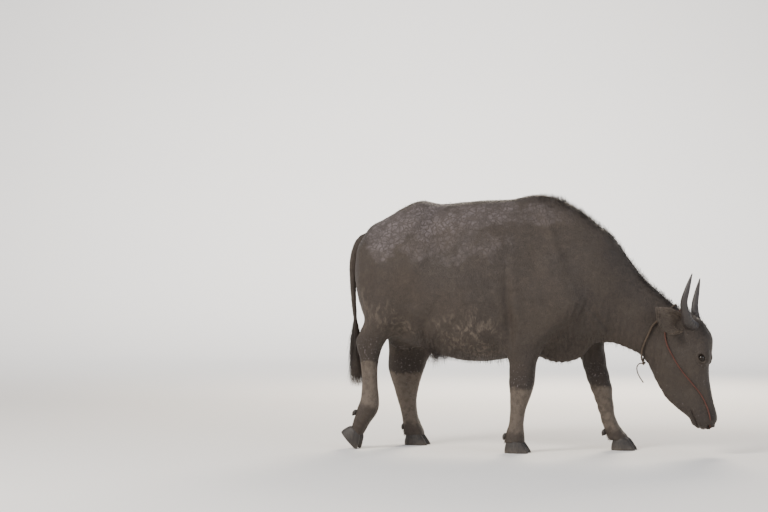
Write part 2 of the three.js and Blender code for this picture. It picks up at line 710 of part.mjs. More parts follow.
const onHead = surfaceFinder(bareHead.transform(HEAD_AXES.toArray()), HEAD_AXES);
const roundSize = (radius) => () => ({ width: radius, height: radius });
const mouthSweep = (offset, lift, radius) =>
  sweep(mouthCurve(onHead, offset, lift), MOUTH.steps, 5, roundSize(radius), new THREE.Vector3(0, 1, 0));
const NOSTRIL = {
  t: 534,
  r: 8,
  s: 44,
  wing: new THREE.Vector3(24, 24, 18),
  hole: new THREE.Vector3(17, 8, 13),
};
function nostrilWing(side) {
  return egg(new THREE.Vector3(NOSTRIL.t - 6, NOSTRIL.r, side * NOSTRIL.s), NOSTRIL.wing, 10);
}
function nostrilHole(side) {
  const mouth = new THREE.Vector3(NOSTRIL.t + 8, NOSTRIL.r + 4, side * (NOSTRIL.s + 8));
  return egg(mouth, NOSTRIL.hole, 10, new THREE.Euler(0, side * 0.5, 0.5));
}

// Ropes: a loop round the throat behind the ears, knotted below, and a cord from nostril to nostril
const onFlesh = surfaceFinder(flesh, HEAD_AXES);
function laidOn(rays, lift, closed) {
  const points = rays.map(([t, r, s, ...direction]) => {
    const towards = new THREE.Vector3(...direction).normalize();
    const outward = towards.clone().transformDirection(HEAD_AXES);
    return onFlesh(t, r, s, towards).addScaledVector(outward, lift);
  });
  return new THREE.CatmullRomCurve3(points, closed);
}
// The loop runs from the nape behind the ears to the throat, where it hangs slack
const LOOP = {
  middle: [-1, -176],
  down: [0.806, -0.592],
  up: [-0.6, 0.8],
  slack: new THREE.Vector3(15, 0, -28),
  slackSpread: THREE.MathUtils.degToRad(20),
  steps: 24,
};
const loopAngles = Array.from({ length: LOOP.steps }, (_, i) => (2 * Math.PI * i) / LOOP.steps);
const loopRays = loopAngles.map((angle) => {
  const [t, r] = Math.cos(angle) > 0 ? LOOP.down : LOOP.up;
  const share = Math.abs(Math.cos(angle));
  return [...LOOP.middle, 0, t * share, r * share, Math.sin(angle)];
});
const loopCurve = laidOn(loopRays, ROPE_RADIUS + LAID, true);
loopAngles.forEach((angle, i) => {
  const fromThroat = Math.min(angle, 2 * Math.PI - angle) / LOOP.slackSpread;
  loopCurve.points[i].addScaledVector(LOOP.slack, Math.exp(-(fromThroat ** 2)));
});
const knotCentre = loopCurve.points[0].clone().add(new THREE.Vector3(0, 0, -6));
const knot = (grow = 0) => egg(knotCentre, new THREE.Vector3(13, 10, 11).addScalar(grow), 8);
const END_ROUTE = [
  [-8, 0, 0],
  [-24, -3, -5],
  [-33, -5, -22],
  [-30, -4, -47],
  [-17, 1, -75],
  [-2, 4, -98],
];
const endCurve = new THREE.CatmullRomCurve3(
  END_ROUTE.map((step) => knotCentre.clone().add(new THREE.Vector3(...step))),
);
const endSection = new THREE.Shape(
  Array.from({ length: 8 }, (_, i) => {
    const angle = (i * Math.PI) / 4;
    return new THREE.Vector2(END_RADIUS * Math.cos(angle), END_RADIUS * Math.sin(angle));
  }),
);
const endTube = new THREE.ExtrudeGeometry(endSection, {
  steps: 10,
  extrudePath: endCurve,
  bevelEnabled: false,
});
// Rows are t and r of a point inside the head, and the way out to the skin on one side
const NOSE_ROPE_RAYS = [
  [520, 6, 0, 0.35, 0.1, 1],
  [486, 14, 0, 0, 0.1, 1],
  [430, 14, 0, 0, 0, 1],
  [370, -4, 0, 0, 0, 1],
  [305, -38, 0, 0, 0, 1],
  [240, -74, 0, 0, 0, 1],
  [165, -104, 0, 0, 0, 1],
  [85, -124, 0, 0, 0, 1],
  [30, -118, 0, -0.2, 0.05, 1],
  [14, -104, 0, -0.45, 0.3, 0.85],
  [10, -95, 0, -0.6, 0.5, 0.55],
  [10, -90, 0, -0.72, 0.62, 0.2],
];
const mirrored = (ray) => ray.map((value, i) => (i === 5 || i === 2 ? -value : value));
const noseRopeCurve = laidOn(
  [...NOSE_ROPE_RAYS, ...NOSE_ROPE_RAYS.map(mirrored).reverse()],
  NOSE_ROPE_RADIUS + LAID,
  false,
);

function closedRope(curve, steps, radius) {
  const rings = [];
  const sides = 7;
  const frames = curve.computeFrenetFrames(steps, true);
  for (let i = 0; i < steps; i++) {
    const centre = curve.getPointAt(i / steps);
    rings.push(
      Array.from({ length: sides }, (_, j) => {
        const angle = (2 * Math.PI * j) / sides;
        return centre
          .clone()
          .addScaledVector(frames.normals[i], radius * Math.cos(angle))
          .addScaledVector(frames.binormals[i], radius * Math.sin(angle));
      }),
    );
  }
  const points = rings.flat();
  const faces = [];
  for (let i = 0; i < steps; i++) {
    for (let j = 0; j < sides; j++) {
      const a = i * sides + j;
      const b = i * sides + ((j + 1) % sides);
      const c = ((i + 1) % steps) * sides + j;
      const d = ((i + 1) % steps) * sides + ((j + 1) % sides);
      faces.push(a, b, d, a, d, c);
    }
  }
  return solidFrom(points, faces);
}

const neckRope = (grow = 0) => closedRope(loopCurve, 36, ROPE_RADIUS + grow).add(knot(grow));
const noseRope = (grow = 0) =>
  sweep(noseRopeCurve, 48, 5, roundSize(NOSE_ROPE_RADIUS), new THREE.Vector3(1, 0.3, 0), grow);

function headSolid() {
  const built = join([
    bareHead,
    mouthSweep(MOUTH.lipOffset, MOUTH.lipSink, MOUTH.lip),
    mouthSweep(-MOUTH.lipOffset, MOUTH.lipSink, MOUTH.lip),
    nostrilWing(-1),
    nostrilWing(1),
  ]);
  return without(built, [
    mouthSweep(0, 0, MOUTH.groove),
    ...[-1, 1].flatMap((side) => [
      nostrilHole(side),
      egg(eyePlace(side), uniform(EYE.radius + GAP), 12),
      lidOpening(side),
      horn(side, GAP),
      ear(side, GAP),
    ]),
    noseRope(GAP).add(neckRope(GAP)).transform(toHead.toArray()),
  ]);
}

// Assembly
const SIDES = { right: -1, left: 1 };
const buffalo = new THREE.Group();
buffalo.position.set(-CENTRE.x, -CENTRE.y, 0);
const headGroup = new THREE.Group();
headGroup.applyMatrix4(HEAD_AXES);
buffalo.add(headGroup);

buffalo.add(meshOf("torso", without(torsoSolid, [tail(GAP)]), SKIN));
buffalo.add(meshOf("neck", without(neckSolid, [neckRope(GAP), noseRope(GAP)]), SKIN));
headGroup.add(meshOf("head", headSolid(), SKIN));
for (const [name, side] of Object.entries(SIDES)) {
  headGroup.add(meshOf("horn_" + name, horn(side), HORN));
  headGroup.add(meshOf("ear_" + name, without(ear(side), [horn(side, GAP)]), EAR_SKIN));
  headGroup.add(meshOf("eye_" + name, egg(eyePlace(side), uniform(EYE.radius), 12), EYEBALL));
}
for (const [name, foot] of Object.entries(FEET)) {
  const hard = [-1, 1].flatMap((side) => [claw(foot, side, GAP), dewclaw(foot, side, GAP)]);
  buffalo.add(meshOf("leg_" + name, without(legSolids[name], hard), SKIN));
  for (const [sideName, side] of Object.entries(SIDES)) {
    buffalo.add(meshOf("claw_" + name + "_" + sideName, claw(foot, side), HOOF));
    buffalo.add(meshOf("dewclaw_" + name + "_" + sideName, dewclaw(foot, side), HOOF));
  }
}
buffalo.add(meshOf("tail", tail(), SKIN));
buffalo.add(meshOf("tail_switch", tailSwitch(), HAIR));
buffalo.add(meshOf("udder", without(udder(), [trunk.translate(0, 0, -GAP)]), SKIN));
buffalo.add(meshOf("neck_rope", neckRope(), ROPE));
buffalo.add(meshOf("neck_rope_end", without(solidOf(endTube), [knot(GAP)]), ROPE));
buffalo.add(meshOf("nose_rope", noseRope(), NOSE_ROPE));

export default buffalo;
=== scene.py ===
import math

import bmesh
import bpy
import numpy as np
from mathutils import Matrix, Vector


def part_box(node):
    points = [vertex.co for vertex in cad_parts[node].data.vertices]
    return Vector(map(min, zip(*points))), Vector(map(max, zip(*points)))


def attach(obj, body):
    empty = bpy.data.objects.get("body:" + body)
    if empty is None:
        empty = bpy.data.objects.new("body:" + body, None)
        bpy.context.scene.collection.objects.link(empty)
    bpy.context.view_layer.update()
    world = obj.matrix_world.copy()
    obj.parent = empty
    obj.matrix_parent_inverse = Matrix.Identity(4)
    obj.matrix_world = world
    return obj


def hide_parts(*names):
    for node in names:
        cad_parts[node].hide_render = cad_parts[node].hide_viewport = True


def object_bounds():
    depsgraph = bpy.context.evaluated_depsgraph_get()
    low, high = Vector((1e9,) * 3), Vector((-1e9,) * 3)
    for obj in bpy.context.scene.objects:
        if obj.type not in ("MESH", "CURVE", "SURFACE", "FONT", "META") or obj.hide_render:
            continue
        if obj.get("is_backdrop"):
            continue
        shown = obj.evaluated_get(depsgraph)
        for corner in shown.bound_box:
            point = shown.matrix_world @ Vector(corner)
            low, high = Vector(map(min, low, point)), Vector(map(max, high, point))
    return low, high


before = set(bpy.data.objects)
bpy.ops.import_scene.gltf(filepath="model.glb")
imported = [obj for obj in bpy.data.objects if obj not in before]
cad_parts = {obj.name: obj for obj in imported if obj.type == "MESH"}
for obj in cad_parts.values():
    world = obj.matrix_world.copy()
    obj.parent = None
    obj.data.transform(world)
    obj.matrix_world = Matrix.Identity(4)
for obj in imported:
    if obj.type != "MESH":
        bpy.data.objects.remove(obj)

import openvdb
from bpy.props import FloatProperty, FloatVectorProperty, IntProperty, PointerProperty
from mathutils import Matrix, Vector
from mathutils.bvhtree import BVHTree

bl_info = {
    "name": "Water buffalo",
    "version": (1, 0, 0),
    "blender": (4, 5, 0),
    "location": "View3D > Sidebar > Buffalo",
    "description": "Dresses the solid water buffalo with skin, coat, horns, hooves and ropes",
    "category": "Object",
}

FAR = 0.3  # distance given to a place that is nowhere near a form
MIDDLE_X = 0.0441  # middle of the floor box, ahead of the shoulder line
NECK_TURN = math.radians(4.1)
HEAD_TURN = math.radians(4)
HEAD_LEAN = math.radians(4)
EYE = np.array((0.195, 0.033, 0.088))
EYE_RADIUS = 0.021


# Settings


class BuffaloSettings(bpy.types.PropertyGroup):
    coat_depth: FloatProperty(
        name="Coat depth", description="How far the skin lies inside the solid model",
        default=0.004, min=0, max=0.02, unit="LENGTH")
    body_cell: FloatProperty(
        name="Body cell", description="Spacing of the skin's mesh along the body",
        default=0.0065, min=0.003, max=0.03, unit="LENGTH")
    head_cell: FloatProperty(
        name="Head cell", description="Spacing of the skin's mesh along the head",
        default=0.0034, min=0.002, max=0.03, unit="LENGTH")
    cross_cell: FloatProperty(
        name="Cross cell", description="Spacing of the skin's mesh across and up the body",
        default=0.0048, min=0.002, max=0.03, unit="LENGTH")
    skin_relief: FloatProperty(
        name="Skin relief", description="Depth of the folds and lumps of the skin",
        default=0.0022, min=0, max=0.01, unit="LENGTH")
    rope_radius: FloatProperty(
        name="Neck rope radius", description="Half the thickness of the rope round the neck",
        default=0.005, min=0.002, max=0.02, unit="LENGTH")
    end_radius: FloatProperty(
        name="Free end radius", description="Half the thickness of the rope's free end",
        default=0.003, min=0.001, max=0.01, unit="LENGTH")
    nose_rope_radius: FloatProperty(
        name="Nose rope radius", description="Half the thickness of the rope over the nape and nose",
        default=0.0035, min=0.001, max=0.01, unit="LENGTH")
    body_hairs: IntProperty(
        name="Body hairs", description="Number of short tufts over the whole body",
        default=52000, min=0, max=200000)
    skin_colour: FloatVectorProperty(
        name="Skin", description="Wet slate colour of the bare skin", subtype="COLOR", size=3,
        default=(0.036, 0.0265, 0.0205), min=0, max=1)
    dust_colour: FloatVectorProperty(
        name="Dust", description="Pale dust lying on the skin", subtype="COLOR", size=3,
        default=(0.078, 0.060, 0.045), min=0, max=1)
    mud_colour: FloatVectorProperty(
        name="Dried mud", description="Lilac grey mud dried on the back and rump", subtype="COLOR", size=3,
        default=(0.135, 0.112, 0.110), min=0, max=1)
    shank_colour: FloatVectorProperty(
        name="Shanks", description="Greyish tan of the lower legs", subtype="COLOR", size=3,
        default=(0.120, 0.094, 0.072), min=0, max=1)
    hair_colour: FloatVectorProperty(
        name="Hair", description="Dark brown of the long hair", subtype="COLOR", size=3,
        default=(0.022, 0.015, 0.011), min=0, max=1)
    horn_colour: FloatVectorProperty(
        name="Horn", description="Grey black of the horns", subtype="COLOR", size=3,
        default=(0.026, 0.021, 0.019), min=0, max=1)
    rope_colour: FloatVectorProperty(
        name="Neck rope", description="Weathered fibre rope", subtype="COLOR", size=3,
        default=(0.092, 0.064, 0.042), min=0, max=1)
    nose_rope_colour: FloatVectorProperty(
        name="Nose rope", description="Faded red cord", subtype="COLOR", size=3,
        default=(0.120, 0.042, 0.028), min=0, max=1)


def settings():
    return bpy.context.scene.buffalo


# Axes and curves


class Axes:
    """Where a form lies: its origin, and the ways along it, to its upper or front side, and to the left."""

    def __init__(self, origin, along, up, left):
        self.origin = np.asarray(origin, float)
        self.basis = np.array((along, up, left), float)

    def inward(self, places):
        return (np.asarray(places, float) - self.origin) @ self.basis.T

    def outward(self, places):
        return np.asarray(places, float) @ self.basis + self.origin

    def turned(self, ways):
        return np.asarray(ways, float) @ self.basis


def sloping_axes(origin, slope, turn, lean=0.0):
    forward, rise = slope
    along = np.array((forward * math.cos(turn), forward * math.sin(turn), rise))
    up = np.array((-rise * math.cos(turn), -rise * math.sin(turn), forward))
    left = np.array((-math.sin(turn), math.cos(turn), 0))
    leaned = math.cos(lean) * along - math.sin(lean) * left
    return Axes(origin, leaned, up, math.sin(lean) * along + math.cos(lean) * left)


def from_shoulder(x, y, z):
    """A place measured from the shoulder line on the floor, in the row frame."""
    return np.array((x - MIDDLE_X, y, z))


BODY_AXES = sloping_axes(from_shoulder(0, 0, 0), (1, 0), 0)
NECK_AXES = sloping_axes(from_shoulder(0.300, 0, 0.880), (0.85, -0.526), NECK_TURN)
HEAD_AXES = sloping_axes(from_shoulder(0.861, 0.040, 0.6615), (0.175, -0.985), HEAD_TURN, HEAD_LEAN)
LEG_AXES = Axes(from_shoulder(0, 0, 0), (0, 0, 1), (1, 0, 0), (0, 1, 0))


def unit(ways):
    ways = np.asarray(ways, float)
    return ways / np.maximum(np.linalg.norm(ways, axis=-1, keepdims=True), 1e-12)


def curve_through(points, count, closed=False):
    """Places evenly spaced along a smooth curve through the points."""
    points = np.asarray(points, float)
    before, after = 2 * points[0] - points[1], 2 * points[-1] - points[-2]
    if closed:
        ring = np.vstack((points[-1:], points, points[:2]))
    else:
        ring = np.vstack((before, points, after))
    steps = np.linspace(0, 1, 24, endpoint=False)[:, None]
    places = []
    for a, b, c, d in zip(ring, ring[1:], ring[2:], ring[3:]):
        gap = [max(np.linalg.norm(q - p) ** 0.5, 1e-6) for p, q in ((a, b), (b, c), (c, d))]
        leaving = (b - a) / gap[0] - (c - a) / (gap[0] + gap[1]) + (c - b) / gap[1]
        arriving = (c - b) / gap[1] - (d - b) / (gap[1] + gap[2]) + (d - c) / gap[2]
        places.append(
            b * (2 * steps**3 - 3 * steps**2 + 1) + leaving * gap[1] * (steps**3 - 2 * steps**2 + steps)
            + c * (3 * steps**2 - 2 * steps**3) + arriving * gap[1] * (steps**3 - steps**2))
    places.append(ring[-2:-1])
    places = np.vstack(places)
    lengths = np.concatenate(((0,), np.cumsum(np.linalg.norm(np.diff(places, axis=0), axis=1))))
    wanted = np.linspace(0, lengths[-1], count, endpoint=not closed)
    return np.stack([np.interp(wanted, lengths, places[:, i]) for i in range(3)], axis=1)


def smooth_stations(rows, t):
    """Every size of a form at each t, on a smooth curve through its stations."""
    rows = np.asarray(rows, float)
    at = rows[:, 0]
    last = len(rows) - 1
    i = np.clip(np.searchsorted(at, t, side="left") - 1, 0, last - 1)
    a, b, c, d = rows[np.maximum(i - 1, 0)], rows[i], rows[i + 1], rows[np.minimum(i + 2, last)]
    span = (c[:, :1] - b[:, :1])
    u = np.clip((np.asarray(t)[:, None] - b[:, :1]) / span, 0, 1)
    leaving = (c - a) / (c[:, :1] - a[:, :1]) * span
    arriving = (d - b) / (d[:, :1] - b[:, :1]) * span
    return (b * (2 * u**3 - 3 * u**2 + 1) + leaving * (u**3 - 2 * u**2 + u)
            + c * (3 * u**2 - 2 * u**3) + arriving * (u**3 - u**2))


# Forms: each gives the distance from its surface, negative inside


class Form:
    """A solid form with a box that holds it."""

    reach = 0.13

    def around(self, places):
        low, high = self.low - self.reach, self.high + self.reach
        return np.all((places > low) & (places < high), axis=1)

    def distance(self, places):
        out = np.full(len(places), FAR)
        near = self.around(places)
        if near.any():
            out[near] = np.clip(self.measure(places[near]), -FAR, FAR)
        return out


class Loft(Form):
    """Sections along an axis, smooth between the rows that size them."""

    ridge = 0.016

    def __init__(self, axes, rows, cap_start, cap_end):
        self.axes = axes
        self.start, self.end = rows[0][0], rows[-1][0]
        self.caps = (cap_start, cap_end)
        self.fine = np.linspace(self.start, self.end, 600)
        self.sizes = smooth_stations(rows, self.fine)
        down, up = self.sizes[:, 1].min(), self.sizes[:, 3].max()
        side = np.abs(self.sizes[:, 5]).max() + self.sizes[:, 4].max()
        corners = [(t, r, s) for t in (self.start, self.end) for r in (down, up) for s in (-side, side)]
        world = axes.outward(corners)
        self.low, self.high = world.min(0), world.max(0)

    def measure(self, places):
        t, r, s = self.axes.inward(places).T
        down, mid, up, half, side, upper, lower = (
            np.interp(t, self.fine, self.sizes[:, column]) for column in range(1, 8))
        rise = r - mid
        above = rise >= 0
        tall = np.where(above, up - mid, mid - down)
        power = np.where(above, upper, lower)
        across = (np.hypot(s - side, self.ridge) - self.ridge) / half + 1e-4
        height = np.abs(rise) / tall + 1e-4
        section = (across**power + height**power) ** (1 / power)
        slope = np.hypot(across ** (power - 1) / half, height ** (power - 1) / tall) * section ** (1 - power)
        cap_start, cap_end = self.caps
        before = (self.start + cap_start - t) / cap_start
        after = (t - self.end + cap_end) / cap_end
        past = np.maximum(np.maximum(before, after), 0)
        cap = np.where(before > after, cap_start, cap_end)
        whole = np.hypot(section, past)
        steep = np.hypot(section * slope, past / cap) / whole
        return (whole - 1) / np.maximum(steep, 1.0)


class Egg(Form):
    """An ellipsoid lined up with some axes, turned about their left way."""

    def __init__(self, axes, centre, radii, turn=0.0):
        self.axes = axes
        self.centre = np.asarray(centre, float)
        self.radii = np.asarray(radii, float)
        self.cosine, self.sine = math.cos(turn), math.sin(turn)
        middle = axes.outward(self.centre)
        self.low, self.high = middle - self.radii.max(), middle + self.radii.max()

    def measure(self, places):
        t, r, s = (self.axes.inward(places) - self.centre).T
        turned = np.stack((t * self.cosine + r * self.sine, r * self.cosine - t * self.sine, s), axis=1)
        scaled = turned / self.radii
        size = np.linalg.norm(scaled, axis=1)
        steep = np.linalg.norm(scaled / self.radii, axis=1)
        return size * (size - 1) / np.maximum(steep, 1e-6)


class Rod(Form):
    """A round rod of changing thickness along a line of places."""

    def __init__(self, places, radii):
        self.places = np.asarray(places, float)
        self.radii = np.asarray(radii, float)
        self.low = self.places.min(0) - self.radii.max()
        self.high = self.places.max(0) + self.radii.max()

    def measure(self, places):
        out = np.full(len(places), FAR)
        for a, b, wide_a, wide_b in zip(self.places, self.places[1:], self.radii, self.radii[1:]):
            way = b - a
            share = np.clip((places - a) @ way / (way @ way), 0, 1)
            gap = np.linalg.norm(places - a - share[:, None] * way, axis=1)
            out = np.minimum(out, gap - wide_a - (wide_b - wide_a) * share)
        return out


def blended(a, b, radius):
    """The union of two distances with a round fillet."""
    near = np.maximum(radius - np.abs(a - b), 0) / radius
    return np.minimum(a, b) - near * near * radius / 4


def carved(a, b, radius):
    """What is left of a when b is cut out, with a round edge."""
    return -blended(-a, b, radius)


# Rows of a loft are t, reach down, widest level, reach up, half width, middle, upper and lower power
TORSO_ROWS = [
    (-0.868, 0.700, 0.900, 1.075, 0.150, 0, 2.1, 2.1),
    (-0.790, 0.620, 0.915, 1.140, 0.205, 0, 2.0, 2.1),
    (-0.700, 0.570, 0.930, 1.186, 0.230, 0, 1.9, 2.1),
    (-0.600, 0.535, 0.930, 1.244, 0.246, 0, 1.8, 2.1),
    (-0.518, 0.512, 0.900, 1.273, 0.258, 0, 1.75, 2.1),
    (-0.410, 0.476, 0.830, 1.257, 0.276, 0, 1.75, 2.1),
    (-0.290, 0.450, 0.780, 1.265, 0.290, 0, 1.8, 2.1),
    (-0.170, 0.447, 0.760, 1.274, 0.292, 0, 1.8, 2.1),
    (-0.050, 0.463, 0.765, 1.276, 0.274, 0, 1.75, 2.1),
    (0.070, 0.487, 0.790, 1.298, 0.246, 0, 1.6, 2.1),
    (0.150, 0.505, 0.800, 1.291, 0.228, 0, 1.55, 2.0),
    (0.220, 0.520, 0.805, 1.267, 0.212, 0, 1.6, 2.0),
    (0.300, 0.535, 0.810, 1.224, 0.195, 0, 1.7, 2.0),
    (0.380, 0.552, 0.815, 1.163, 0.170, 0, 1.8, 2.0),
    (0.470, 0.585, 0.820, 1.075, 0.140, 0, 2.0, 2.0),
    (0.560, 0.640, 0.820, 0.960, 0.110, 0, 2.0, 2.0),
]
NECK_ROWS = [
    (-0.090, -0.250, -0.030, 0.170, 0.130, 0, 1.8, 2),
    (0.000, -0.305, -0.030, 0.250, 0.172, 0, 1.7, 2),
    (0.090, -0.290, -0.030, 0.243, 0.162, 0, 1.8, 2),
    (0.190, -0.238, -0.025, 0.206, 0.138, 0, 1.9, 2),
    (0.280, -0.203, -0.025, 0.174, 0.120, 0, 1.9, 2),
    (0.380, -0.178, -0.025, 0.152, 0.108, 0, 1.9, 2),
    (0.470, -0.166, -0.022, 0.138, 0.102, 0, 1.9, 2),
    (0.560, -0.150, -0.008, 0.137, 0.096, 0, 2, 2),
    (0.650, -0.110, 0.005, 0.128, 0.084, 0, 2, 2),
]
HEAD_ROWS = [
    (-0.040, -0.090, -0.008, 0.030, 0.080, 0, 2.2, 2),
    (0.030, -0.170, -0.008, 0.071, 0.096, 0, 2.3, 2),
    (0.095, -0.244, -0.008, 0.096, 0.101, 0, 2.4, 2),
    (0.150, -0.250, -0.012, 0.087, 0.100, 0, 2.5, 2),
    (0.200, -0.238, -0.020, 0.070, 0.095, 0, 2.6, 2),
    (0.245, -0.227, -0.038, 0.054, 0.086, 0, 2.7, 2),
    (0.300, -0.209, -0.050, 0.047, 0.074, 0, 2.8, 2),
    (0.360, -0.184, -0.045, 0.046, 0.064, 0, 2.9, 2),
    (0.420, -0.139, -0.032, 0.047, 0.060, 0, 2.8, 2),
    (0.470, -0.093, -0.018, 0.051, 0.064, 0, 2.6, 2),
    (0.510, -0.080, -0.014, 0.047, 0.067, 0, 2.5, 2),
    (0.545, -0.058, -0.014, 0.030, 0.062, 0, 2.3, 2),
]
LEG_POWER = 2.1
# Rows of a leg are height, back edge, front edge, middle and half width
LEG_ROWS = {
    "front_right": [
        (0.042, -0.046, 0.062, -0.160, 0.047), (0.075, -0.040, 0.062, -0.160, 0.044),
        (0.105, -0.032, 0.060, -0.160, 0.041), (0.150, -0.018, 0.057, -0.160, 0.034),
        (0.220, -0.014, 0.070, -0.160, 0.034), (0.290, -0.014, 0.096, -0.161, 0.043),
        (0.345, -0.018, 0.112, -0.162, 0.048), (0.400, -0.017, 0.119, -0.163, 0.049),
        (0.464, -0.020, 0.130, -0.165, 0.054), (0.540, -0.050, 0.170, -0.163, 0.066),
        (0.610, -0.062, 0.240, -0.158, 0.077), (0.700, -0.035, 0.330, -0.155, 0.082),
        (0.800, 0.010, 0.350, -0.150, 0.080), (0.900, 0.070, 0.330, -0.140, 0.074),
        (1.030, 0.110, 0.290, -0.115, 0.060),
    ],
    "front_left": [
        (0.042, 0.428, 0.540, 0.158, 0.047), (0.075, 0.414, 0.520, 0.158, 0.044),
        (0.110, 0.399, 0.490, 0.158, 0.041), (0.160, 0.384, 0.464, 0.158, 0.034),
        (0.230, 0.362, 0.451, 0.158, 0.035), (0.300, 0.336, 0.446, 0.159, 0.044),
        (0.355, 0.314, 0.434, 0.160, 0.048), (0.410, 0.296, 0.420, 0.162, 0.049),
        (0.469, 0.274, 0.409, 0.164, 0.054), (0.545, 0.215, 0.404, 0.162, 0.066),
        (0.615, 0.130, 0.418, 0.158, 0.077), (0.700, 0.075, 0.432, 0.155, 0.082),
        (0.800, 0.065, 0.425, 0.150, 0.080), (0.900, 0.085, 0.385, 0.140, 0.074),
        (1.030, 0.120, 0.310, 0.115, 0.060),
    ],
    "hind_left": [
        (0.042, -0.655, -0.545, 0.150, 0.047), (0.075, -0.662, -0.552, 0.150, 0.044),
        (0.110, -0.664, -0.568, 0.150, 0.041), (0.160, -0.672, -0.584, 0.150, 0.034),
        (0.230, -0.692, -0.590, 0.150, 0.035), (0.300, -0.714, -0.578, 0.150, 0.039),
        (0.355, -0.733, -0.562, 0.151, 0.044), (0.405, -0.745, -0.545, 0.152, 0.048),
        (0.450, -0.744, -0.528, 0.153, 0.052), (0.520, -0.742, -0.492, 0.153, 0.070),
        (0.600, -0.755, -0.462, 0.152, 0.088), (0.700, -0.775, -0.440, 0.150, 0.104),
        (0.820, -0.795, -0.430, 0.142, 0.116), (0.940, -0.800, -0.450, 0.128, 0.116),
        (1.080, -0.770, -0.500, 0.105, 0.095),
    ],
    "hind_right": [
        (0.062, -0.850, -0.792, -0.155, 0.038), (0.100, -0.850, -0.770, -0.155, 0.040),
        (0.135, -0.840, -0.748, -0.155, 0.041), (0.172, -0.828, -0.720, -0.155, 0.043),
        (0.212, -0.815, -0.704, -0.155, 0.043), (0.252, -0.800, -0.702, -0.155, 0.038),
        (0.320, -0.793, -0.708, -0.155, 0.033), (0.400, -0.795, -0.710, -0.155, 0.035),
        (0.460, -0.802, -0.703, -0.156, 0.040), (0.515, -0.817, -0.686, -0.156, 0.046),
        (0.555, -0.822, -0.662, -0.156, 0.052), (0.600, -0.800, -0.625, -0.155, 0.064),
        (0.660, -0.778, -0.560, -0.154, 0.084), (0.740, -0.782, -0.492, -0.151, 0.104),
        (0.840, -0.800, -0.450, -0.142, 0.116), (0.950, -0.800, -0.455, -0.128, 0.116),
        (1.080, -0.770, -0.500, -0.105, 0.095),
    ],
}
TAIL_POINTS = [
    (-0.790, 0, 1.085), (-0.848, 0, 1.058), (-0.884, 0.002, 0.975), (-0.893, 0.006, 0.860),
    (-0.888, 0.012, 0.720), (-0.880, 0.018, 0.600), (-0.876, 0.022, 0.520),
]


def leg_form(rows):
    """A loft up one leg, with nearly oval sections."""
    stations = [
        (t, back, (back + front) / 2, front, half, side, LEG_POWER, LEG_POWER)
        for t, back, front, side, half in rows]
    return Loft(LEG_AXES, stations, 0.014, 0.090)


def tail_line(count):
    return curve_through([from_shoulder(*p) for p in TAIL_POINTS], count)


def tail_radii(count):
    u = np.linspace(0, 1, count)
    return 0.037 + (0.0125 - 0.037) * np.minimum(1, u * 1.25) ** 0.7


# Lumps and hollows seen from the side: x, z, half length, half width, tilt in degrees, height
# and side, where 0 is both
BODY_RELIEF = [
    (0.205, 1.080, 0.200, 0.022, 112, 0.009, 0),
    (0.130, 0.960, 0.130, 0.045, 108, -0.007, 0),
    (0.290, 0.930, 0.120, 0.045, 108, -0.006, 0),
    (0.330, 0.760, 0.075, 0.055, 60, 0.012, -1),
    (0.395, 0.760, 0.075, 0.055, 60, 0.012, 1),
    (0.180, 0.800, 0.130, 0.075, 150, 0.010, 0),
    (0.002, 0.700, 0.230, 0.020, 93, -0.014, 0),
    (0.045, 0.700, 0.200, 0.026, 95, 0.006, 0),
    (0.425, 0.660, 0.090, 0.016, 125, 0.007, 0),
    (0.455, 0.645, 0.080, 0.012, 125, -0.007, 0),
    (0.060, 0.690, 0.060, 0.040, 110, 0.009, 0),
    (-0.505, 1.165, 0.060, 0.034, 15, 0.016, 0),
    (-0.570, 1.090, 0.110, 0.040, 55, -0.006, 0),
    (-0.800, 1.020, 0.045, 0.045, 0, 0.012, 0),
    (-0.700, 1.110, 0.110, 0.040, 20, -0.008, 0),
    (-0.400, 1.090, 0.090, 0.065, 120, -0.015, 0),
    (-0.440, 0.990, 0.150, 0.028, 60, 0.007, 0),
    (-0.590, 0.900, 0.150, 0.080, 60, 0.010, 0),
    (-0.720, 0.840, 0.170, 0.022, 85, -0.008, 0),
    (-0.500, 0.690, 0.060, 0.050, 60, 0.011, 0),
    (-0.425, 0.650, 0.120, 0.022, 55, -0.009, 0),
    (-0.370, 0.610, 0.140, 0.026, 40, 0.007, 0),
    (-0.160, 0.560, 0.260, 0.060, 3, 0.006, 0),
]
RIB_COUNT = 6
RIB_DEPTH = 0.0008


def body_relief(places):
    """Bones, muscles, ribs and hollows, seen from either side."""
    x, y, z = (places - BODY_AXES.origin).T
    lift = np.zeros(len(places))
    for px, pz, length, width, tilt, height, side in BODY_RELIEF:
        cosine, sine = math.cos(math.radians(tilt)), math.sin(math.radians(tilt))
        u = ((x - px) * cosine + (z - pz) * sine) / length
        v = ((z - pz) * cosine - (x - px) * sine) / width
        far = u * u + v * v
        one = height * np.exp(-far)
        if side:
            one = one * (y * side > 0.02)
        lift += one
    ribs = np.exp(-(((x + 0.17) / 0.17) ** 4) - ((z - 0.86) / 0.17) ** 4)
    phase = (x + 0.25 * (z - 0.86)) / 0.38 * RIB_COUNT * 2 * math.pi
    lift += RIB_DEPTH * ribs * np.cos(phase)
    return lift * np.clip((np.abs(y) - 0.02) / 0.08, 0, 1)


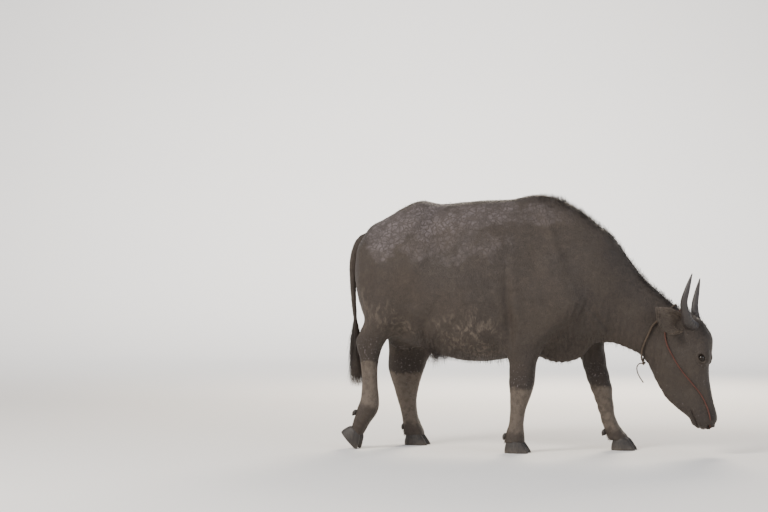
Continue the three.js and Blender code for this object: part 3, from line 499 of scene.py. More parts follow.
# Lumps and hollows of the head: t, r, half length, half width, tilt in degrees, height
HEAD_RELIEF = [
    (0.200, -0.130, 0.075, 0.060, 70, 0.007),
    (0.275, -0.030, 0.080, 0.014, 175, 0.006),
    (0.330, -0.095, 0.070, 0.035, 15, -0.008),
    (0.125, 0.020, 0.035, 0.025, 100, -0.008),
    (0.110, -0.070, 0.030, 0.060, 80, -0.006),
    (0.270, 0.020, 0.050, 0.012, 170, -0.004),
    (0.430, 0.000, 0.060, 0.022, 175, -0.005),
    (0.490, 0.020, 0.030, 0.030, 0, 0.006),
]
MOUTH_T = (0.425, 0.440, 0.480, 0.515, 0.545)
MOUTH_R = (-0.067, -0.064, -0.055, -0.046, -0.040)
LID_TURN = 0.3
LID_RADII = (0.021, 0.0125)


def head_relief(places):
    """Cheek, face ridge, temple, lips, the line of the mouth and the creases of the lids."""
    t, r, s = HEAD_AXES.inward(places).T
    lift = np.zeros(len(places))
    for pt, pr, length, width, tilt, height in HEAD_RELIEF:
        cosine, sine = math.cos(math.radians(tilt)), math.sin(math.radians(tilt))
        u = ((t - pt) * cosine + (r - pr) * sine) / length
        v = ((r - pr) * cosine - (t - pt) * sine) / width
        lift += height * np.exp(-(u * u + v * v))
    lift *= np.clip(np.abs(s) / 0.04, 0, 1)
    level = r - np.interp(t, MOUTH_T, MOUTH_R)
    open_part = np.clip((t - MOUTH_T[0]) / 0.02, 0, 1)
    upper_lip = 0.0035 * np.exp(-(((level - 0.011) / 0.008) ** 2))
    mouth_line = 0.0055 * np.exp(-((level / 0.0032) ** 2))
    lift += open_part * (upper_lip - mouth_line)
    lift += open_part * 0.0035 * np.exp(-(((level + 0.010) / 0.008) ** 2))
    return lift + lid_creases(t - EYE[0], r - EYE[1], np.abs(s))


def lid_creases(t, r, s):
    """Rings of fine folds round the eye."""
    cosine, sine = math.cos(LID_TURN), math.sin(LID_TURN)
    u = (t * cosine + r * sine) / LID_RADII[0]
    v = (r * cosine - t * sine) / LID_RADII[1]
    ring = np.hypot(u, v)
    outer = s > 0.05
    rim = 0.0018 * np.exp(-(((ring - 1.22) / 0.16) ** 2))
    folds = -0.0016 * np.exp(-(((ring - 1.75) / 0.16) ** 2)) - 0.0014 * np.exp(-(((ring - 2.45) / 0.18) ** 2))
    return outer * (rim + folds)


class Flesh:
    """The animal without its eyes, horns, ears and hooves, as one distance from its surface."""

    def __init__(self, depth):
        self.depth = depth
        body = BODY_AXES
        head = HEAD_AXES
        self.joined = [
            (Loft(body, TORSO_ROWS, 0.110, 0.120), 0.001),
            (Egg(body, (0.212, 0.545, 0), (0.150, 0.101, 0.086)), 0.050),
            (Loft(NECK_AXES, NECK_ROWS, 0.060, 0.060), 0.070),
            (Loft(head, HEAD_ROWS, 0.055, 0.042), 0.045),
            *((leg_form(rows), 0.045) for rows in LEG_ROWS.values()),
            (Egg(body, (-0.610, 0.560, 0), (0.092, 0.062, 0.058)), 0.030),
            *((Egg(body, (x, 0.504, side * 0.027), (0.009, 0.022, 0.009)), 0.010)
              for x in (-0.640, -0.575) for side in (-1, 1)),
            (Rod(tail_line(26), tail_radii(26)), 0.020),
            *((form, radius) for side in (-1, 1) for form, radius in self.face_forms(side)),
        ]
        self.cut = [(form, radius) for side in (-1, 1) for form, radius in self.face_openings(side)]

    @staticmethod
    def face_forms(side):
        """Brow, lids, horn root, ear root and nostril wing of one side."""
        sided = np.array((1, 1, side))
        return [
            (Egg(HEAD_AXES, (EYE + (-0.012, 0.005, -0.012)) * sided, (0.052, 0.038, 0.033)), 0.016),
            (Egg(HEAD_AXES, EYE * sided, (0.031, 0.026, 0.0255)), 0.007),
            (Egg(HEAD_AXES, (0.040, 0.024, side * 0.062), (0.046, 0.044, 0.040)), 0.020),
            (Egg(HEAD_AXES, (0.030, -0.034, side * 0.078), (0.034, 0.032, 0.032)), 0.024),
            (Egg(HEAD_AXES, (0.528, 0.008, side * 0.044), (0.024, 0.024, 0.018)), 0.012),
        ]

    @staticmethod
    def face_openings(side):
        """The almond of the lids and the nostril of one side."""
        lids = (EYE[0] + 0.001, EYE[1] + 0.002, side * (EYE[2] + EYE_RADIUS + 0.003))
        nostril = (0.542, 0.012, side * 0.052)
        return [
            (Egg(HEAD_AXES, lids, (*LID_RADII, 0.015), LID_TURN), 0.003),
            (Egg(HEAD_AXES, nostril, (0.018, 0.008, 0.014), 0.5), 0.004),
        ]

    def distance(self, places):
        places = np.asarray(places, float)
        gap = np.full(len(places), FAR)
        for form, radius in self.joined:
            gap = blended(gap, form.distance(places), radius)
        near = np.abs(gap) < 0.06
        gap[near] -= body_relief(places[near]) + head_relief(places[near])
        for form, radius in self.cut:
            gap = carved(gap, form.distance(places), radius)
        return gap + self.depth

    def slope(self, places, gap):
        """The outward way at each place."""
        step = 0.0008
        moved = [self.distance(places + step * way) - gap for way in np.eye(3)]
        return np.stack(moved, axis=1) / step

    def settle(self, places, rounds):
        """Moves places along the outward way towards the surface, in a few rounds."""
        for _ in range(rounds):
            gap = self.distance(places)
            slope = self.slope(places, gap)
            steep = np.maximum((slope**2).sum(1), 0.05)
            move = (gap / steep)[:, None] * slope
            far = np.maximum(np.linalg.norm(move, axis=1, keepdims=True) / 0.006, 1)
            places = places - move / far
        return places


# A repeatable field of lumps


class Lumps:
    """Smooth random values between -1 and 1, which repeat after 32 lumps."""

    def __init__(self, seed):
        self.grid = np.random.default_rng(seed).uniform(-1, 1, (32, 32, 32))

    def at(self, places, size):
        spot = np.asarray(places) / size + 64
        cell = np.floor(spot).astype(int)
        part = spot - cell
        part = part * part * (3 - 2 * part)
        total = np.zeros(len(spot))
        for corner in np.ndindex(2, 2, 2):
            weight = np.prod(np.where(corner, part, 1 - part), axis=1)
            x, y, z = ((cell + corner) % 32).T
            total += weight * self.grid[x, y, z]
        return total


# Meshes


def new_piece(name, places, faces, nodes=()):
    """A mesh that rides on the body, and hides the solids that it stands for."""
    mesh = bpy.data.meshes.new(name)
    mesh.from_pydata(np.asarray(places).tolist(), [], [tuple(int(i) for i in face) for face in faces])
    mesh.validate()
    mesh.shade_smooth()
    piece = bpy.data.objects.new(name, mesh)
    bpy.context.scene.collection.objects.link(piece)
    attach(piece, "root")
    if nodes:
        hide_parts(*nodes)
    return piece


def ring_faces(rings, sides, closed=False):
    """Quads between rings that all have the same count of points."""
    faces = []
    for i in range(rings if closed else rings - 1):
        for j in range(sides):
            k = (j + 1) % sides
            n = (i + 1) % rings
            faces.append((i * sides + j, i * sides + k, n * sides + k, n * sides + j))
    return faces


def closed_rings(rings):
    """Points and faces of a skin over rings, with a fan at each end."""
    rings = np.asarray(rings)
    count, sides = rings.shape[:2]
    places = np.vstack((rings.reshape(-1, 3), rings[0].mean(0)[None], rings[-1].mean(0)[None]))
    faces = ring_faces(count, sides)
    first, last = count * sides, count * sides + 1
    top = (count - 1) * sides
    for j in range(sides):
        faces.append((first, (j + 1) % sides, j))
        faces.append((last, top + j, top + (j + 1) % sides))
    return places, faces


def joined_meshes(parts):
    """Several lists of points and faces as one."""
    places, faces, start = [], [], 0
    for some_places, some_faces in parts:
        places.append(some_places)
        faces.extend(tuple(i + start for i in face) for face in some_faces)
        start += len(some_places)
    return np.vstack(places), faces


def framed_line(line, across):
    """The ways along, wide and tall at each place of a line."""
    along = unit(np.gradient(line, axis=0))
    wide = unit(across - along * (along @ np.asarray(across, float))[:, None])
    return along, wide, np.cross(along, wide)


def flesh_mesh(flesh):
    """Meshes the flesh on a grid that is finer at the head."""
    ours = settings()
    low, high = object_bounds()
    step, fine, cross = ours.body_cell, ours.head_cell, ours.cross_cell
    head_start = float(HEAD_AXES.origin[0]) - 0.19
    margin = 0.02
    body_xs = np.arange(low[0] - margin, head_start, step)
    head_xs = np.arange(head_start, high[0] + margin, fine)
    xs = np.concatenate((body_xs, head_xs))
    ys = np.arange(low[1] - margin, high[1] + margin, cross)
    zs = np.arange(low[2] - margin, high[2] + margin, cross)
    axes = [axis[: len(axis) // 2 * 2] for axis in (xs, ys, zs)]
    halves = np.meshgrid(*[axis[::2] + (axis[1] - axis[0]) / 2 for axis in axes], indexing="ij")
    coarse = flesh.distance(np.stack([h.ravel() for h in halves], axis=1)).reshape(halves[0].shape)
    values = coarse.repeat(2, 0).repeat(2, 1).repeat(2, 2)
    band = np.argwhere(np.abs(values) < 0.024)
    places = np.stack([axis[band[:, i]] for i, axis in enumerate(axes)], axis=1)
    values[tuple(band.T)] = flesh.distance(places)
    grid = openvdb.FloatGrid(FAR)
    grid.copyFromArray(values.astype(np.float32))
    points, _, quads = grid.convertToPolygons(isovalue=0.0, adaptivity=0.0)
    columns = [np.interp(points[:, i], np.arange(len(axis)), axis) for i, axis in enumerate(axes)]
    return np.stack(columns, axis=1), quads


def largest_part(mesh):
    """Keeps the largest connected surface of a mesh."""
    seen = set()
    parts = []
    for start in mesh.verts:
        if start.index in seen:
            continue
        part, waiting = [], [start]
        seen.add(start.index)
        while waiting:
            vert = waiting.pop()
            part.append(vert)
            for edge in vert.link_edges:
                other = edge.other_vert(vert)
                if other.index not in seen:
                    seen.add(other.index)
                    waiting.append(other)
        parts.append(part)
    parts.sort(key=len)
    for part in parts[:-1]:
        bmesh.ops.delete(mesh, geom=part, context="VERTS")


# Places on the head with a finer mesh, and how far it reaches
FINE_SPOTS = [
    ((0.195, 0.033, 0.105), 0.050),
    ((0.540, 0.010, 0.052), 0.034),
    ((0.490, -0.052, 0.045), 0.060),
]


def refine(mesh):
    """Halves the edges round the eyes, the nostrils and the mouth."""
    spots = [
        (Vector(HEAD_AXES.outward(np.array(place) * (1, 1, side))), radius)
        for place, radius in FINE_SPOTS for side in (-1, 1)]
    edges = [
        edge for edge in mesh.edges
        if any((edge.verts[0].co - place).length < radius for place, radius in spots)]
    bmesh.ops.subdivide_edges(mesh, edges=edges, cuts=1, use_grid_fill=True)


def skin_folds(places):
    """Height of the loose folds and lumps of the skin."""
    lumps = Lumps(11)
    x, _, z = (places - BODY_AXES.origin).T
    t, r, _ = NECK_AXES.inward(places).T
    on_head = np.clip((x - 0.74) / 0.06, 0, 1)
    wander = lumps.at(places, 0.16)
    folds = np.sin((t + 0.35 * r) / 0.034 * 2 * math.pi + 3.0 * wander)
    throat = np.clip((0.02 - r) / 0.12, 0, 1) * np.clip((t - 0.02) / 0.1, 0, 1) * (1 - on_head)
    soft = 0.55 * lumps.at(places, 0.050) + 0.30 * lumps.at(places + 3, 0.022)
    soft = soft + 0.22 * lumps.at(places + 7, 0.011)
    shank = np.clip((0.50 - z) / 0.1, 0, 1) * (1 - on_head)
    fine = 0.5 * on_head + 0.8 * shank
    return soft * (1 - 0.6 * fine) + 0.9 * throat * folds * (0.6 + 0.4 * lumps.at(places, 0.09))


# Shader nodes


class Nodes:
    """Adds shader nodes to a tree and joins them."""

    def __init__(self, tree):
        self.tree = tree

    def feed(self, socket, value):
        """Links a socket to another one, or sets its value."""
        if isinstance(value, bpy.types.NodeSocket):
            self.tree.links.new(value, socket)
        else:
            socket.default_value = value

    def add(self, kind, *inputs, **options):
        node = self.tree.nodes.new(kind)
        named = {key: options.pop(key) for key in list(options) if not hasattr(node, key)}
        for key, value in options.items():
            setattr(node, key, value)
        for slot, value in list(enumerate(inputs)) + list(named.items()):
            if value is not None:
                label = slot if isinstance(slot, int) else slot.replace("_", " ").title()
                self.feed(node.inputs[label], value)
        return node

    def math(self, operation, a, b=None, c=None):
        return self.add("ShaderNodeMath", a, b, c, operation=operation).outputs[0]

    def vector(self, operation, a, b=None, c=None):
        node = self.add("ShaderNodeVectorMath", a, b, c, operation=operation)
        return node.outputs["Value"] if operation == "LENGTH" else node.outputs[0]

    def spread(self, value, low, high, out_low=0.0, out_high=1.0):
        node = self.add(
            "ShaderNodeMapRange", value, low, high, out_low, out_high, interpolation_type="SMOOTHSTEP")
        return node.outputs[0]

    def noise(self, place, scale, detail=4.0, roughness=0.55):
        node = self.add("ShaderNodeTexNoise", place, scale=scale, detail=detail, roughness=roughness)
        return node.outputs["Fac"]

    def cells(self, place, scale, feature="F1"):
        return self.add("ShaderNodeTexVoronoi", place, feature=feature, scale=scale).outputs["Distance"]

    def warped(self, place, scale, detail, amount):
        """A place moved about by noise."""
        shift = self.add("ShaderNodeTexNoise", place, scale=scale, detail=detail).outputs["Color"]
        return self.vector("MULTIPLY_ADD", shift, (amount, amount, amount), place)

    def mix(self, share, a, b):
        node = self.tree.nodes.new("ShaderNodeMix")
        node.data_type = "RGBA"
        for slot, value in ((0, share), (6, a), (7, b)):
            self.feed(node.inputs[slot], value)
        return node.outputs[2]

    def group(self, tree, **inputs):
        node = self.tree.nodes.new("ShaderNodeGroup")
        node.node_tree = tree
        for key, value in inputs.items():
            self.feed(node.inputs[key], value)
        return node


def new_group(name, inputs, outputs):
    """An empty node group with its sockets, and the nodes to fill it."""
    tree = bpy.data.node_groups.new(name, "ShaderNodeTree")
    for socket, kind in inputs:
        tree.interface.new_socket(socket, in_out="INPUT", socket_type=kind)
    for socket, kind in outputs:
        tree.interface.new_socket(socket, in_out="OUTPUT", socket_type=kind)
    return tree, Nodes(tree), tree.nodes.new("NodeGroupInput"), tree.nodes.new("NodeGroupOutput")


FLOAT, VECTOR, COLOR = "NodeSocketFloat", "NodeSocketVector", "NodeSocketColor"


def patch_group():
    """A soft oval patch with a ragged edge, round a place on the animal."""
    tree, nodes, given, out = new_group(
        "ragged_patch", [("Place", VECTOR), ("Centre", VECTOR), ("Size", VECTOR), ("Ragged", FLOAT)],
        [("Mask", FLOAT)])
    place, centre, size, ragged = given.outputs[:4]
    away = nodes.vector("DIVIDE", nodes.vector("SUBTRACT", place, centre), size)
    far = nodes.vector("LENGTH", away)
    rough = nodes.math("SUBTRACT", nodes.noise(place, 9.0, 6.0, 0.62), 0.5)
    edge = nodes.math("MULTIPLY_ADD", rough, ragged, far)
    tree.links.new(nodes.spread(edge, 1.15, 0.55), out.inputs[0])
    return tree


def opaque(colour):
    return (*colour, 1.0)


# Marks on the hide: centre, half sizes, raggedness and strength
MUD_PATCHES = [
    ((-0.690, 0.00, 1.120), (0.150, 0.60, 0.160), 2.4, 1.00),
    ((-0.480, 0.00, 1.170), (0.230, 0.60, 0.110), 2.4, 0.90),
    ((-0.200, 0.00, 1.185), (0.260, 0.60, 0.080), 2.2, 0.80),
    ((0.080, 0.00, 1.190), (0.160, 0.60, 0.060), 2.2, 0.45),
    ((-0.330, 0.00, 1.050), (0.300, 0.60, 0.110), 3.6, 0.45),
]
SMEARS = [
    ((-0.270, 0.00, 0.590), (0.190, 0.60, 0.140), 2.2, 0.80),
    ((-0.660, 0.00, 0.660), (0.110, 0.60, 0.120), 3.0, 0.55),
    ((-0.790, 0.00, 0.700), (0.060, 0.60, 0.110), 3.2, 0.40),
]
# Level where the pale shank starts, and where the dark foot does, in front and on either hind leg
SHANK_TOPS = (0.325, 0.375, 0.440)
FOOT_TOPS = (0.100, 0.105, 0.215)


def marked(nodes, patch, place, rows):
    """The strongest of several ragged patches."""
    whole = None
    for centre, size, ragged, strength in rows:
        mask = nodes.group(patch, Place=place, Centre=centre, Size=size, Ragged=ragged).outputs[0]
        mask = nodes.math("MULTIPLY", mask, strength)
        whole = mask if whole is None else nodes.math("MAXIMUM", whole, mask)
    return whole


def by_leg(nodes, hind, right, levels):
    """A level that differs between the fore legs, the left hind leg and the right one."""
    front, hind_left, hind_right = levels
    behind = nodes.math("MULTIPLY_ADD", right, hind_right - hind_left, hind_left - front)
    return nodes.math("MULTIPLY_ADD", behind, hind, front)


def hide_group(patch):
    """Colour, roughness and height of the hide, from the place on the animal alone."""
    ours = settings()
    tree, nodes, given, out = new_group(
        "hide_markings", [("Place", VECTOR)],
        [("Color", COLOR), ("Roughness", FLOAT), ("Height", FLOAT)])
    skin, dust, clay, tan, hair = (
        opaque(colour) for colour in (
            ours.skin_colour, ours.dust_colour, ours.mud_colour, ours.shank_colour, ours.hair_colour))
    place = given.outputs[0]
    along, across, level = nodes.add("ShaderNodeSeparateXYZ", place).outputs
    on_head = nodes.spread(along, 0.60, 0.68)
    off_head = nodes.math("SUBTRACT", 1.0, on_head)

    # Skin and dust
    cloud = nodes.noise(place, 5.0, 5.0, 0.6)
    mottle = nodes.noise(place, 22.0, 6.0, 0.68)
    speck = nodes.noise(place, 120.0, 3.0, 0.6)
    pores = nodes.cells(place, 230.0)
    colour = nodes.mix(nodes.spread(cloud, 0.32, 0.78, 0.0, 0.38), skin, dust)
    colour = nodes.mix(nodes.spread(mottle, 0.48, 0.72, 0.0, 0.30), colour, dust)
    colour = nodes.mix(nodes.spread(speck, 0.52, 0.80, 0.0, 0.30), colour, dust)
    colour = nodes.mix(nodes.spread(pores, 0.15, 0.45, 0.32, 0.0), colour, hair)

    # Dried mud, cracked into small flakes
    bent = nodes.warped(place, 24.0, 4.0, 0.045)
    flakes = nodes.spread(nodes.cells(bent, 36.0, "DISTANCE_TO_EDGE"), 0.02, 0.16)
    crust = nodes.spread(nodes.noise(place, 20.0, 7.0, 0.72), 0.36, 0.60)
    mud = marked(nodes, patch, place, MUD_PATCHES)
    cover = nodes.math("MULTIPLY_ADD", nodes.math("MULTIPLY", crust, flakes), 0.72, 0.26)
    mud = nodes.math("MULTIPLY", mud, cover)
    colour = nodes.mix(mud, colour, clay)

    # Smears of pale mud, drawn down the belly and the thighs
    wavy = nodes.warped(place, 14.0, 2.0, 0.050)
    streaks = nodes.noise(nodes.vector("MULTIPLY", wavy, (52.0, 52.0, 13.0)), 1.0, 6.0, 0.66)
    smear = marked(nodes, patch, place, SMEARS)
    smear = nodes.math("MULTIPLY", smear, nodes.spread(streaks, 0.45, 0.62))
    colour = nodes.mix(smear, colour, tan)

    # Pale shanks with a sharp upper edge, dark knees with pale specks, and dark feet
    hind = nodes.spread(along, -0.20, -0.30)
    right = nodes.spread(across, 0.02, -0.02)
    wander = nodes.math("SUBTRACT", nodes.noise(place, 16.0, 5.0, 0.6), 0.5)
    edge = nodes.math("MULTIPLY_ADD", wander, 0.11, level)
    above_shank = nodes.math("SUBTRACT", edge, by_leg(nodes, hind, right, SHANK_TOPS))
    above_foot = nodes.math("SUBTRACT", edge, by_leg(nodes, hind, right, FOOT_TOPS))
    knee = nodes.spread(above_shank, 0.17, 0.05, 0.0, 0.55)
    knee = nodes.math("MULTIPLY", knee, off_head)
    colour = nodes.mix(knee, colour, hair)
    specks = nodes.spread(nodes.noise(place, 95.0, 3.0), 0.60, 0.68, 0.0, 1.6)
    colour = nodes.mix(nodes.math("MULTIPLY", specks, knee), colour, clay)
    shank = nodes.math("MULTIPLY", nodes.spread(above_shank, 0.012, -0.016), off_head)
    shank = nodes.math("MULTIPLY", shank, nodes.spread(nodes.noise(place, 48.0, 5.0), 0.28, 0.62, 0.50, 1.0))
    colour = nodes.mix(nodes.math("MULTIPLY", shank, 0.88), colour, tan)
    foot = nodes.math("MULTIPLY", nodes.spread(above_foot, 0.030, -0.020, 0.0, 0.72), off_head)
    colour = nodes.mix(foot, colour, hair)

    # Dark muzzle, and pale flecks on the face
    muzzle = nodes.math("MULTIPLY", nodes.spread(level, 0.30, 0.17, 0.0, 0.70), on_head)
    colour = nodes.mix(muzzle, colour, hair)
    flecks = nodes.spread(nodes.noise(place, 75.0, 3.0), 0.66, 0.76, 0.0, 0.55)
    colour = nodes.mix(nodes.math("MULTIPLY", flecks, on_head), colour, clay)

    # Relief and shine
    wrinkles = nodes.spread(nodes.cells(bent, 120.0, "DISTANCE_TO_EDGE"), 0.0, 0.16)
    pitted = nodes.math("MULTIPLY", pores, 0.30)
    height = nodes.math("MULTIPLY_ADD", nodes.noise(place, 170.0, 5.0, 0.6), 0.7, pitted)
    height = nodes.math("MULTIPLY_ADD", wrinkles, 0.40, height)
    height = nodes.math("MULTIPLY_ADD", nodes.math("MULTIPLY", flakes, mud), 0.9, height)
    rough = nodes.spread(cloud, 0.3, 0.7, 0.56, 0.74)
    rough = nodes.math("MULTIPLY_ADD", mud, 0.25, rough)
    for socket, value in zip(out.inputs, (colour, rough, height)):
        tree.links.new(value, socket)
    return tree


def ensure_hide():
    """The hide's markings, built once and shared by the skin and the coat."""
    return bpy.data.node_groups.get("hide_markings") or hide_group(patch_group())


def new_material(name, roughness=0.8):
    """A material with a plain surface shader, ready for its nodes."""
    material = bpy.data.materials.new(name)
    material.use_nodes = True
    shader = material.node_tree.nodes["Principled BSDF"]
    shader.inputs["Roughness"].default_value = roughness
    return material, Nodes(material.node_tree), shader


def bumped(nodes, shader, height, distance, strength=1.0):
    """Lets a height roughen the surface of a material."""
    bump = nodes.add("ShaderNodeBump", strength=strength, distance=distance)
    nodes.feed(bump.inputs["Height"], height)
    nodes.feed(shader.inputs["Normal"], bump.outputs[0])


def shared_material(name, make):
    """A material that several pieces share, made for the first of them."""
    return bpy.data.materials.get(name) or make()


def object_place(nodes):
    return nodes.add("ShaderNodeTexCoord").outputs["Object"]


def skin_material():
    material, nodes, shader = new_material("buffalo_skin")
    marks = nodes.group(ensure_hide(), Place=object_place(nodes))
    nodes.feed(shader.inputs["Base Color"], marks.outputs["Color"])
    nodes.feed(shader.inputs["Roughness"], marks.outputs["Roughness"])
    shader.inputs["Specular IOR Level"].default_value = 0.35
    bumped(nodes, shader, marks.outputs["Height"], 0.0026, 1.0)
    return material


def ear_material():
    """Thin skin with faint streaks along the animal, painted warmer and paler than the hide: a painted glow
    that stands in for the back light shining through the ear and for the light its shaded side lacks.
    """
    ours = settings()
    material, nodes, shader = new_material("buffalo_ear_with_painted_glow", 0.7)
    place = object_place(nodes)
    marks = nodes.group(ensure_hide(), Place=place)
    streaks = nodes.noise(nodes.vector("MULTIPLY", place, (18.0, 60.0, 60.0)), 1.0, 5.0, 0.65)
    share = nodes.spread(streaks, 0.30, 0.70, 0.35, 0.95)
    # Painted glow: the pale tan mixed in stands in for light shining through the thin ear, not a colour of
    # its own.
    colour = nodes.mix(share, marks.outputs["Color"], opaque(ours.shank_colour))
    nodes.feed(shader.inputs["Base Color"], colour)
    shader.inputs["Specular IOR Level"].default_value = 0.25
    bumped(nodes, shader, marks.outputs["Height"], 0.0016, 0.8)
    return material


def coat_material(name, darkness):
    """Hair that takes the markings of the hide under it, pulled towards the hair's own brown."""
    ours = settings()
    material, nodes, shader = new_material(name, 0.6)
    place = object_place(nodes)
    marks = nodes.group(ensure_hide(), Place=place)
    fleck = nodes.spread(nodes.noise(place, 400.0, 2.0), 0.3, 0.7, 0.5 * darkness, darkness)
    colour = nodes.mix(fleck, marks.outputs["Color"], opaque(ours.hair_colour))
    nodes.feed(shader.inputs["Base Color"], colour)
    shader.inputs["Specular IOR Level"].default_value = 0.3
    return material


def horn_material():
    """Grey horn with worn paler clouds and dust in its grain."""
    ours = settings()
    material, nodes, shader = new_material("buffalo_horn", 0.45)
    place = object_place(nodes)
    cloud = nodes.noise(place, 14.0, 6.0, 0.65)
    grain = nodes.noise(nodes.vector("MULTIPLY", place, (60.0, 240.0, 60.0)), 1.0, 4.0)
    worn = opaque(tuple(2.0 * c for c in ours.horn_colour))
    colour = nodes.mix(nodes.spread(cloud, 0.42, 0.75, 0.0, 0.6), opaque(ours.horn_colour), worn)
    colour = nodes.mix(nodes.spread(grain, 0.45, 0.8, 0.0, 0.35), colour, opaque(ours.dust_colour))
    nodes.feed(shader.inputs["Base Color"], colour)
    nodes.feed(shader.inputs["Roughness"], nodes.spread(cloud, 0.3, 0.7, 0.38, 0.6))
    bumped(nodes, shader, grain, 0.0012)
    return material


HOOF_DARK = (0.012, 0.009, 0.0075)
HOOF_WORN = (0.034, 0.026, 0.020)
EYE_DARK = (0.004, 0.003, 0.002)
EYE_BROWN = (0.016, 0.008, 0.004)


def hoof_material():
    """Dark horn with an upright grain, dusty near the floor."""
    ours = settings()
    material, nodes, shader = new_material("buffalo_hoof", 0.55)
    place = object_place(nodes)
    level = nodes.add("ShaderNodeSeparateXYZ", place).outputs[2]
    grain = nodes.noise(nodes.vector("MULTIPLY", place, (220.0, 220.0, 30.0)), 1.0, 5.0)
    dusty = nodes.spread(level, 0.0, 0.04, 0.45, 0.10)
    dusty = nodes.math("MULTIPLY", dusty, nodes.spread(nodes.noise(place, 45.0, 4.0), 0.35, 0.65, 0.4, 1.0))
    colour = nodes.mix(nodes.spread(grain, 0.4, 0.75), opaque(HOOF_DARK), opaque(HOOF_WORN))
    colour = nodes.mix(dusty, colour, opaque(ours.shank_colour))
    nodes.feed(shader.inputs["Base Color"], colour)
    bumped(nodes, shader, grain, 0.0012)
    return material


def eye_material():
    """A dark wet eye, mottled with brown and without a marked pupil."""
    material, nodes, shader = new_material("buffalo_eye", 0.14)
    place = object_place(nodes)
    fibre = nodes.noise(place, 300.0, 4.0)
    colour = nodes.mix(nodes.spread(fibre, 0.35, 0.7), opaque(EYE_DARK), opaque(EYE_BROWN))
    nodes.feed(shader.inputs["Base Color"], colour)
    shader.inputs["Specular IOR Level"].default_value = 0.28
    return material


def rope_material(name, colour):
    """Rope fibre with patches of dirt."""
    material, nodes, shader = new_material(name, 0.92)
    place = object_place(nodes)
    fibre = nodes.noise(place, 900.0, 3.0)
    dirt = nodes.noise(place, 40.0, 5.0, 0.65)
    tint = nodes.mix(nodes.spread(fibre, 0.3, 0.75), opaque(tuple(0.55 * c for c in colour)), opaque(colour))
    tint = nodes.mix(nodes.spread(dirt, 0.45, 0.8, 0.0, 0.6), tint, opaque(tuple(0.3 * c for c in colour)))
    nodes.feed(shader.inputs["Base Color"], tint)
    bumped(nodes, shader, fibre, 0.0006)
    return material


# Skin, eyes, horns, ears and hooves


def build_skin():
    """One skin over all the flesh, with its folds pushed out of the mesh."""
    ours = settings()
    flesh = Flesh(ours.coat_depth)
    places, quads = flesh_mesh(flesh)
    mesh = bmesh.new()
    for place in places:
        mesh.verts.new(place)
    mesh.verts.ensure_lookup_table()
    for quad in quads:
        mesh.faces.new([mesh.verts[i] for i in quad])
    mesh.verts.index_update()
    largest_part(mesh)
    refine(mesh)
    bmesh.ops.recalc_face_normals(mesh, faces=mesh.faces)
    mesh.verts.index_update()
    faces = [tuple(vert.index for vert in face.verts) for face in mesh.faces]
    places = np.array([vert.co for vert in mesh.verts], float)
    mesh.free()
    places = flesh.settle(places, 2)
    outward = unit(flesh.slope(places, flesh.distance(places)))
    places = places + (ours.skin_relief * skin_folds(places))[:, None] * outward
    nodes = ["torso", "neck", "head", "tail", "udder"] + ["leg_" + foot for foot in LEG_ROWS]
    skin = new_piece("skin", places, faces, nodes)
    skin.data.materials.append(skin_material())


def build_eye(name, side):
    """A ball with a slightly bulging cornea."""
    forward = EYE * (1, 1, side)
    rings = []
    for i in range(1, 24):
        angle = math.pi * i / 24
        bulge = 1 + 0.05 * max(0, math.cos(angle)) ** 6
        turns = np.linspace(0, 2 * math.pi, 32, endpoint=False)
        ring = np.stack((np.cos(turns) * math.sin(angle), np.sin(turns) * math.sin(angle),
                         np.full(32, side * math.cos(angle))), axis=1)
        rings.append(HEAD_AXES.outward(forward + EYE_RADIUS * bulge * ring))
    places, faces = closed_rings(rings)
    eye = new_piece("eyeball_" + name, places, faces, ["eye_" + name])
    eye.data.materials.append(shared_material("buffalo_eye", eye_material))


HORN_GIRTH = [
    (0, 0.037), (0.26, 0.030), (0.42, 0.022), (0.55, 0.0185),
    (0.67, 0.016), (0.78, 0.013), (0.89, 0.0085), (1, 0.0025),
]


def horn_line(side, count):
    """The middle line of one horn. The two horns differ a little."""
    back = -0.008 if side < 0 else 0.007
    return HEAD_AXES.outward(curve_through([
        (0.046, 0.026, side * 0.050), (0.012, 0.008 + back, side * 0.128),
        (-0.032, 0.007 + back, side * 0.172), (-0.082, 0.010 + back, side * 0.196),
        (-0.140, 0.032 + back / 2, side * 0.206), (-0.216, 0.066, side * 0.202)], count))


def build_horn(name, side):
    """A crescent with rings that grow fainter towards its tip."""
    count, sides = 120, 36
    line = horn_line(side, count)
    _, wide, tall = framed_line(line, HEAD_AXES.turned((0.3, 1, 0)))
    u = np.linspace(0, 1, count)
    girth = smooth_stations(HORN_GIRTH, u)[:, 1]
    lumps = Lumps(23 if side < 0 else 24)
    rings = []
    turns = np.linspace(0, 2 * math.pi, sides, endpoint=False)
    for i in range(count):
        flat = np.stack((np.cos(turns), np.sin(turns) * 0.82), axis=1)
        places = line[i] + girth[i] * (flat[:, :1] * wide[i] + flat[:, 1:] * tall[i])
        wander = lumps.at(places, 0.03)
        fade = max(0.0, 1 - u[i] * 1.35)
        ridge = 0.045 * fade * np.sin(u[i] * 115 + 1.6 * wander) + 0.02 * fade * wander
        keel = 0.05 * np.exp(-((np.sin(turns) + 1) / 0.25) ** 2)
        rings.append(line[i] + (places - line[i]) * (1 + ridge - keel * fade)[:, None])
    places, faces = closed_rings(rings)
    horn = new_piece("horn_sheath_" + name, places, faces, ["horn_" + name])
    horn.data.materials.append(shared_material("buffalo_horn", horn_material))


EAR_RINGS, EAR_ARC = 40, 22
EAR_WIDTH = 0.071


